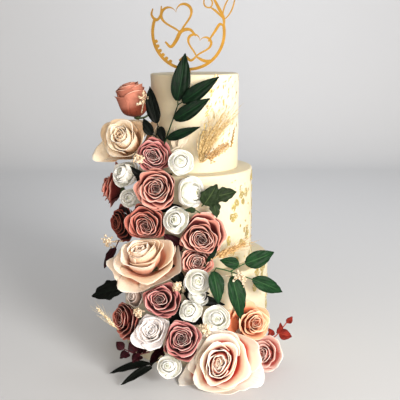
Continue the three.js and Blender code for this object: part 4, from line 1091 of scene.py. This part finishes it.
def waxed_leaf(finish):
    """Waxed cloth leaf: darker along its edge, with a paler midrib and side veins embossed in it, under a
    thin wax that catches the light."""
    edge, face, vein, gloss, _ = LEAF_FINISHES[finish]
    material, tree = new_material("waxed_leaf_" + finish)
    uv = node(tree, "ShaderNodeUVMap", uv_map="leaf").outputs["UV"]
    place = object_place(tree)
    parts = node(tree, "ShaderNodeSeparateXYZ", {0: uv}).outputs
    side = maths(tree, "ABSOLUTE", maths(tree, "SUBTRACT", parts["X"], 0.5))
    slant = maths(tree, "MULTIPLY_ADD", side, -VEIN_SLANT, parts["Y"])
    saw = maths(tree, "PINGPONG", maths(tree, "MULTIPLY", slant, SIDE_VEINS), 1.0)
    veins = step(tree, saw, 0.16, 0.0, 0.0, 0.55)
    midrib = step(tree, side, 0.05, 0.01)
    lines = maths(tree, "MAXIMUM", veins, midrib)
    mottle = noise(tree, place, 120, 3.0)
    colour = blend(tree, step(tree, mottle, 0.3, 0.75), linear(edge), linear(face))
    colour = blend(tree, step(tree, side, 0.34, 0.5, 0.0, 0.7), colour, linear(edge))
    colour = blend(tree, lines, colour, blend(tree, 0.35, linear(face), linear(vein)))
    shine(tree, {"Base Color": colour, "Roughness": gloss, "Specular IOR Level": 0.1}, bump=lines, depth=0.5)
    return material


def leaf_grid(base, tip, width, front, teeth):
    """A leaf as a grid of points: folded along its midrib, arched lengthways and rippled at its sides."""
    base, tip = np.array(base, float), np.array(tip, float)
    along, length = unit(tip - base), np.linalg.norm(tip - base)
    side = unit(np.cross(along, facing(*front)))
    up = np.cross(side, along)
    share = np.linspace(0.0, 1.0, LEAF_ROWS)[:, None]
    across = np.linspace(-1, 1, LEAF_COLUMNS)[None, :]
    half = width / 2 * np.sin(math.pi * np.clip(share, 0.012, 0.992) ** 0.68) ** 0.85
    if teeth:
        lobes = 1 - teeth * (0.5 + 0.5 * np.cos(2 * math.pi * (share - 0.26) / 0.33))
        half = half * lobes * (1 - 0.07 * np.abs(np.modf(share * 15)[0] - 0.5))
    out = half * across
    arch = 0.28 * length * share * (1 - share)
    ripple = 0.22 * np.abs(out) + 0.05 * width * np.sin(7 * share + out) * np.abs(across)
    keel = -0.5 * np.exp(-(out / 0.9) ** 2)
    grid = (base + (share * length)[..., None] * along + out[..., None] * side
            + (arch + ripple + keel)[..., None] * up)
    return grid, both_sides((across + 1) / 2, share)


def sprig_piece(name, finish, front, teeth, stems, leaves):
    """A sprig's stems, stalks and leaves in one mesh."""
    skins = Skins()
    for stem in stems:
        skins.add(*tube(stem, STEM_RADIUS, 0.7 * STEM_RADIUS), (0.5, 0.5))
    along = np.concatenate([smooth_line_3d(stem, 40) for stem in stems])
    for base, tip, width in leaves:
        joint = along[np.argmin(np.linalg.norm(along - np.array(base), axis=1))]
        into = np.array(base) + 0.06 * (np.array(tip, float) - base)
        skins.add(*tube([joint, into], 0.9, 0.7, steps=5), (0.5, 0.5))
        grid, uv = leaf_grid(base, tip, width, front, teeth)
        skins.add(*shell(grid, LEAF_THICK), uv)
    piece = skins.piece("leaves_" + name, [LEAVES[finish]], "leaf")
    stand_in(piece, name)


LEAVES = {finish: waxed_leaf(finish) for finish in LEAF_FINISHES}
for sprig in SPRIGS:
    sprig_piece(*sprig)


# ------------------------------------------------------------------------------- dried grass, ears and sprays
# Real dried stems between the cloth ones: pampas grass with fine hairs, wheat ears with awns, seedheads, a
# gilded twig and sprays of gypsophila. They are cut short and tucked in between the heads.

SPRAYS = [  # root of the stalk, middle of the spray, how far it spreads
    ("dried_spray_1", (-84, -52, 405), (-79, -60, 424), 14),
    ("dried_spray_2", (-88, -100, 334), (-86, -110, 340), 10),
    ("dried_spray_3", (-118, -76, 200), (-138, -78, 200), 13),
    ("dried_spray_4", (-28, -134, 148), (-28, -152, 150), 9),
    ("dried_spray_5", (-90, -128, 104), (-88, -148, 106), 9),
    ("dried_spray_6", (4, -160, 88), (14, -178, 92), 11),
    ("dried_spray_7", (48, -132, 160), (66, -142, 160), 12),
]
FLORETS = 26  # on a spray
GRASS = {"root": (8, -100, 334), "strands": 84,
         "tips": [(14, -94, 392), (32, -90, 408), (50, -84, 414), (66, -76, 412), (72, -76, 396)]}
SEEDHEADS = [  # name, finish, root, tip, grains, their length, how far they stand out, awns, slot
    ("gold_seedhead", "seed_husk", (12, -116, 336), (52, -104, 362), 120, 4.0, 13, 0, "seed_head"),
    ("wheat_ear", "seed_husk", (24, -136, 188), (78, -110, 205), 60, 6.5, 7.5, 60, "straw"),
    ("pale_wheat", "pale_straw", (-122, -136, 72), (-156, -128, 106), 22, 6.4, 3.0, 18, "pale_leaf"),
    ("gold_twig", "gilded", (56, -98, 356), (62, -88, 384), 12, 4, 3.0, 0, "gold"),
]
SPIRAL = 2.4  # radians round from a grain to the next
DRIED_FINISHES = {  # dark, light, roughness and metal
    "straw": ("#a98850", "#e6cf9a", 0.8, 0.0),
    "pale_straw": ("#b9a47c", "#efe3c6", 0.75, 0.0),
    "seed_husk": ("#96703f", "#e2bd84", 0.75, 0.0),
    "gypsophila": ("#b89b72", "#f3e6d0", 0.8, 0.0),
    "gilded": ("#8c6a2c", "#c9a257", 0.35, 0.9),
}


def dried(finish):
    """Dried straw and husk: pale and fibrous, with darker flecks about 3 mm apart. The twig is gilded."""
    dark, light, rough, metal = DRIED_FINISHES[finish]
    return mottled("dried_" + finish, 350, (dark, light), 3.0, {"Roughness": rough, "Metallic": metal},
                   depth=0.3, contrast=(0.3, 0.7))


def dried_tree():
    """Grows stalks along the seed edges, grains on the seed points and hairs all along the stalks."""
    tree, given = geometry_tree("dried_stems", {
        "Stalk Sides": 6, "Grain Stretch": 1.0, "Hair Length": 0.008, "Hair Radius": 0.0002,
        "Hair Spacing": 0.002, "Hair Tilt": 0.4, "Material": None})
    thick, plump = named(tree, "thick"), named(tree, "grain")
    line = node(tree, "GeometryNodeMeshToCurve", {"Mesh": given["Geometry"]}).outputs[0]
    sized = node(tree, "GeometryNodeSetCurveRadius", {"Curve": line, "Radius": thick}).outputs[0]
    profile = node(tree, "GeometryNodeCurvePrimitiveCircle", {
        "Resolution": given["Stalk Sides"], "Radius": 1.0}).outputs[0]
    stalks = node(tree, "GeometryNodeCurveToMesh", {
        "Curve": sized, "Profile Curve": profile, "Fill Caps": True})
    for socket in stalks.inputs:
        if socket.name == "Scale":  # a version of Blender without this input scales by the curve's radius
            tree.links.new(thick, socket)
    stretch = node(tree, "ShaderNodeCombineXYZ", {0: 1.0, 1: 1.0, 2: given["Grain Stretch"]}).outputs[0]
    size = node(tree, "ShaderNodeVectorMath", {0: stretch}, operation="SCALE")
    tree.links.new(plump, size.inputs["Scale"])
    there = node(tree, "FunctionNodeCompare", {0: plump, 1: 0.0}, data_type="FLOAT", operation="GREATER_THAN")
    grains = node(tree, "GeometryNodeInstanceOnPoints", {
        "Points": given["Geometry"], "Selection": there.outputs[0], "Scale": size.outputs[0],
        "Instance": node(tree, "GeometryNodeMeshIcoSphere", {"Radius": 1.0, "Subdivisions": 2}).outputs[0],
        "Rotation": upright_to(tree, named(tree, "along", "FLOAT_VECTOR"))})
    steps = node(tree, "GeometryNodeCurveToPoints", {
        "Curve": line, "Length": given["Hair Spacing"]}, mode="LENGTH").outputs
    hair = node(tree, "GeometryNodeMeshCone", {
        "Vertices": 3, "Radius Top": 0.0, "Radius Bottom": given["Hair Radius"],
        "Depth": given["Hair Length"]}).outputs["Mesh"]
    spin = node(tree, "FunctionNodeRandomValue", {
        "Min": (0, 0, 0), "Max": (0, 0, 6.28), "Seed": 8}, data_type="FLOAT_VECTOR").outputs[0]
    lean = node(tree, "ShaderNodeCombineXYZ", {0: given["Hair Tilt"]}).outputs[0]
    leant = turned_by(tree, turned_by(tree, upright_to(tree, steps["Tangent"]), spin), lean)
    long = node(tree, "FunctionNodeRandomValue", {2: 0.5, 3: 1.2, "Seed": 5}, data_type="FLOAT").outputs[1]
    hairs = node(tree, "GeometryNodeInstanceOnPoints", {
        "Points": steps["Points"], "Selection": maths(tree, "GREATER_THAN", given["Hair Length"], 0.0),
        "Instance": hair, "Rotation": leant, "Scale": long})
    together = node(tree, "GeometryNodeJoinGeometry", {"Geometry": stalks.outputs[0]})
    for part in (grains, hairs):
        tree.links.new(part.outputs[0], together.inputs[0])
    real = node(tree, "GeometryNodeRealizeInstances", {"Geometry": together.outputs[0]})
    set_and_end(tree, real.outputs[0], given["Material"])
    return tree


class Seeds:
    """Gathers the stalks and grains of one dried piece as a seed mesh."""

    def __init__(self):
        self.points, self.edges, self.thick, self.grain, self.along = [], [], [], [], []

    def point(self, place, thick, grain, along):
        """A point with the radii of its stalk and its grain in mm, and the way that the grain lies."""
        self.points.append(place)
        self.thick.append(thick * MM)
        self.grain.append(grain * MM)
        self.along.append(along)

    def stalk(self, points, steps, thick, thin):
        """A smooth stalk that tapers from its root."""
        start = len(self.points)
        for share, place in zip(np.linspace(0, 1, steps), smooth_line_3d(points, steps)):
            self.point(place, thick + (thin - thick) * share, 0, (0, 0, 1))
        self.edges += [(start + k, start + k + 1) for k in range(steps - 1)]

    def mesh(self):
        """The seed mesh, with its points clear of the cake."""
        points = clear_of_cake(np.array(self.points, float), 1.2)
        return seed_mesh(points, self.edges, thick=self.thick, grain=self.grain, along=self.along)


def spray_seeds(root, middle, spread, number):
    """A stalk that parts into many thin ones, each with a floret and two buds at its end."""
    draw = np.random.default_rng(200 + number)
    root, middle = np.array(root, float), np.array(middle, float)
    seeds = Seeds()
    seeds.stalk([root, middle], 6, 1.2, 0.8)
    for _ in range(FLORETS):
        way = unit(draw.normal(0, 1, 3) + 0.8 * unit(middle - root))
        end = middle + way * spread * draw.uniform(0.45, 1.0)
        bow = (middle + end) / 2 + draw.normal(0, 1, 3)
        seeds.stalk([middle, bow, end], 6, 0.45, 0.3)
        seeds.point(end, 0, draw.uniform(1.1, 2.1), way)
        for _ in range(2):
            seeds.point(end + draw.normal(0, 1.3, 3), 0, draw.uniform(0.7, 1.3), way)
    return seeds.mesh()


def grass_seeds():
    """A sheaf of strands that bow up and to the left as they part towards an arc of tips."""
    draw = np.random.default_rng(71)
    root, arc = np.array(GRASS["root"], float), smooth_line_3d(GRASS["tips"], 200)
    seeds = Seeds()
    for _ in range(GRASS["strands"]):
        tip = arc[int(draw.uniform(0, len(arc) - 1))]
        long = draw.uniform(0.5, 1.05)
        end = root + (tip - root) * long + draw.normal(0, 2.5, 3)
        start = root + (end - root) * 0.04 + draw.normal(0, 1.6, 3)
        bow = (start + end) / 2 + draw.normal(0, 2.2, 3) + np.array([-1.5, -1.0, 2.5])
        seeds.stalk([start, bow, end], 18, 0.5, 0.16)
    return seeds.mesh()


def ear_seeds(root, tip, grains, length, spread, awns, number):
    """Grains set round a stalk in a spiral, with awns from their tips."""
    draw = np.random.default_rng(300 + number)
    root, tip = np.array(root, float), np.array(tip, float)
    along = unit(tip - root)
    u, v = square_to(along)
    seeds = Seeds()
    seeds.stalk([root, tip], 10, 1.1, 0.5)
    for k in range(grains):
        share, turn = k / (grains - 1), SPIRAL * k
        away = math.cos(turn) * u + math.sin(turn) * v
        place = root + (tip - root) * (0.22 + 0.78 * share)
        taper = (1 - 0.5 * share) * draw.uniform(0.8, 1.2)
        seat = place + away * spread * taper * draw.uniform(0.35, 0.75)
        seeds.stalk([place, seat], 3, 0.5, 0.4)
        seeds.point(seat, 0, 0.27 * length * taper, unit(along + 0.45 * away))
        if k < awns:
            end = seat + unit(along + draw.uniform(0.2, 0.6) * away) * draw.uniform(12, 26)
            seeds.stalk([seat, (seat + end) / 2 + 0.8 * away, end], 6, 0.28, 0.1)
    return seeds.mesh()


DRIED = {finish: dried(finish) for finish in DRIED_FINISHES}
STEMS = dried_tree()
NO_HAIR = {"hair_length": 0.0}
for number, (name, *spray) in enumerate(SPRAYS):
    seeds = spray_seeds(*spray, number)
    piece = grown("florets_" + name, seeds, STEMS, material=DRIED["gypsophila"], **NO_HAIR)
    stand_in(piece, name)
piece = grown("plume_golden_grass", grass_seeds(), STEMS, material=DRIED["straw"], hair_length=0.010,
              hair_radius=0.0002, hair_spacing=0.0035, hair_tilt=0.3)
stand_in(piece, "golden_grass")
for number, (name, finish, *ear, slot) in enumerate(SEEDHEADS):
    seeds = ear_seeds(*ear, number)
    piece = grown("ear_" + name, seeds, STEMS, material=DRIED[finish], grain_stretch=1.9, **NO_HAIR)
    stand_in(piece, name)


# ------------------------------------------------------------------------------------- the studio and camera
# A pale table that runs up into a plain wall, one large soft light from the front right, and a weaker, warm
# one from the front, so that the left of each tier falls into a warm shade. A third one lights the wall.

FLOOR = {"front": -2.2, "back": 1.6, "half": 3.0, "bend": 0.5, "wall": 2.6}  # metres
FLOOR_UNDER = 0.05  # mm below the base
LIGHTS = [  # where it stands and where it points in metres, its width, its power in watts and its colour
    ("key_front_right", (1.3, -1.8, 0.85), (0, -0.05, 0.25), 0.9, 64, "#fffaf4"),
    ("fill_front", (0.3, -2.3, 0.45), (0, 0, 0.2), 1.2, 32, "#ffeedf"),
    ("wall_glow", (0.15, 0.6, 1.5), (0.35, 2.0, 0.35), 0.4, 8, "#f4f7ff"),
]
BEND_STEPS = 12
CAMERA = {"place": (7.95, -1082.2, 503.4), "down": 13.18, "roll": -0.38, "lens": 58.1, "sensor": 36,
          "near": 0.05, "far": 20}


def backdrop():
    """A table top that curves up into a wall."""
    profile = [(FLOOR["front"], 0.0)]
    for k in range(BEND_STEPS + 1):
        a = math.radians(90 * k / BEND_STEPS)
        profile.append((FLOOR["back"] + FLOOR["bend"] * math.sin(a), FLOOR["bend"] * (1 - math.cos(a))))
    profile.append((FLOOR["back"] + FLOOR["bend"], FLOOR["wall"]))
    points = [(x / MM, y / MM, z / MM - FLOOR_UNDER)
              for y, z in profile for x in (-FLOOR["half"], FLOOR["half"])]
    faces = [(2 * k, 2 * k + 1, 2 * k + 3, 2 * k + 2) for k in range(len(profile) - 1)]
    material, tree = new_material("matt_painted_board")
    shine(tree, {"Base Color": linear("#d2d5d9"), "Roughness": 0.8})
    return new_piece("studio_floor", points, faces, material)


def soft_light(name, place, target, width, power, colour):
    """A round soft light that points at a target."""
    lamp = bpy.data.lights.new(name, "AREA")
    lamp.shape = "DISK"
    lamp.size = width
    lamp.energy = power
    lamp.color = linear(colour)[:3]
    made = placed(name, lamp)
    made.location = place
    made.rotation_euler = (Vector(target) - Vector(place)).to_track_quat("-Z", "Y").to_euler()


def fitted_camera():
    """A camera that looks level along Y, then down and rolled by some degrees."""
    made = placed("camera", bpy.data.cameras.new("camera"))
    made.data.lens = CAMERA["lens"]
    made.data.sensor_width = CAMERA["sensor"]
    made.data.clip_start = CAMERA["near"]
    made.data.clip_end = CAMERA["far"]
    down = Matrix.Rotation(math.radians(90 - CAMERA["down"]), 4, "X")
    roll = Matrix.Rotation(math.radians(CAMERA["roll"]), 4, "Z")
    made.matrix_world = Matrix.Translation(Vector(CAMERA["place"]) * MM) @ (down @ roll)
    return made


backdrop()
for light in LIGHTS:
    soft_light(*light)
world = bpy.data.worlds.new("studio")
world.use_nodes = True
daylight = world.node_tree.nodes["Background"].inputs
daylight["Color"].default_value = linear("#f6f0e6")
daylight["Strength"].default_value = 0.4
bpy.context.scene.world = world
bpy.context.scene.view_settings.view_transform = "Standard"
bpy.context.scene.camera = fitted_camera()
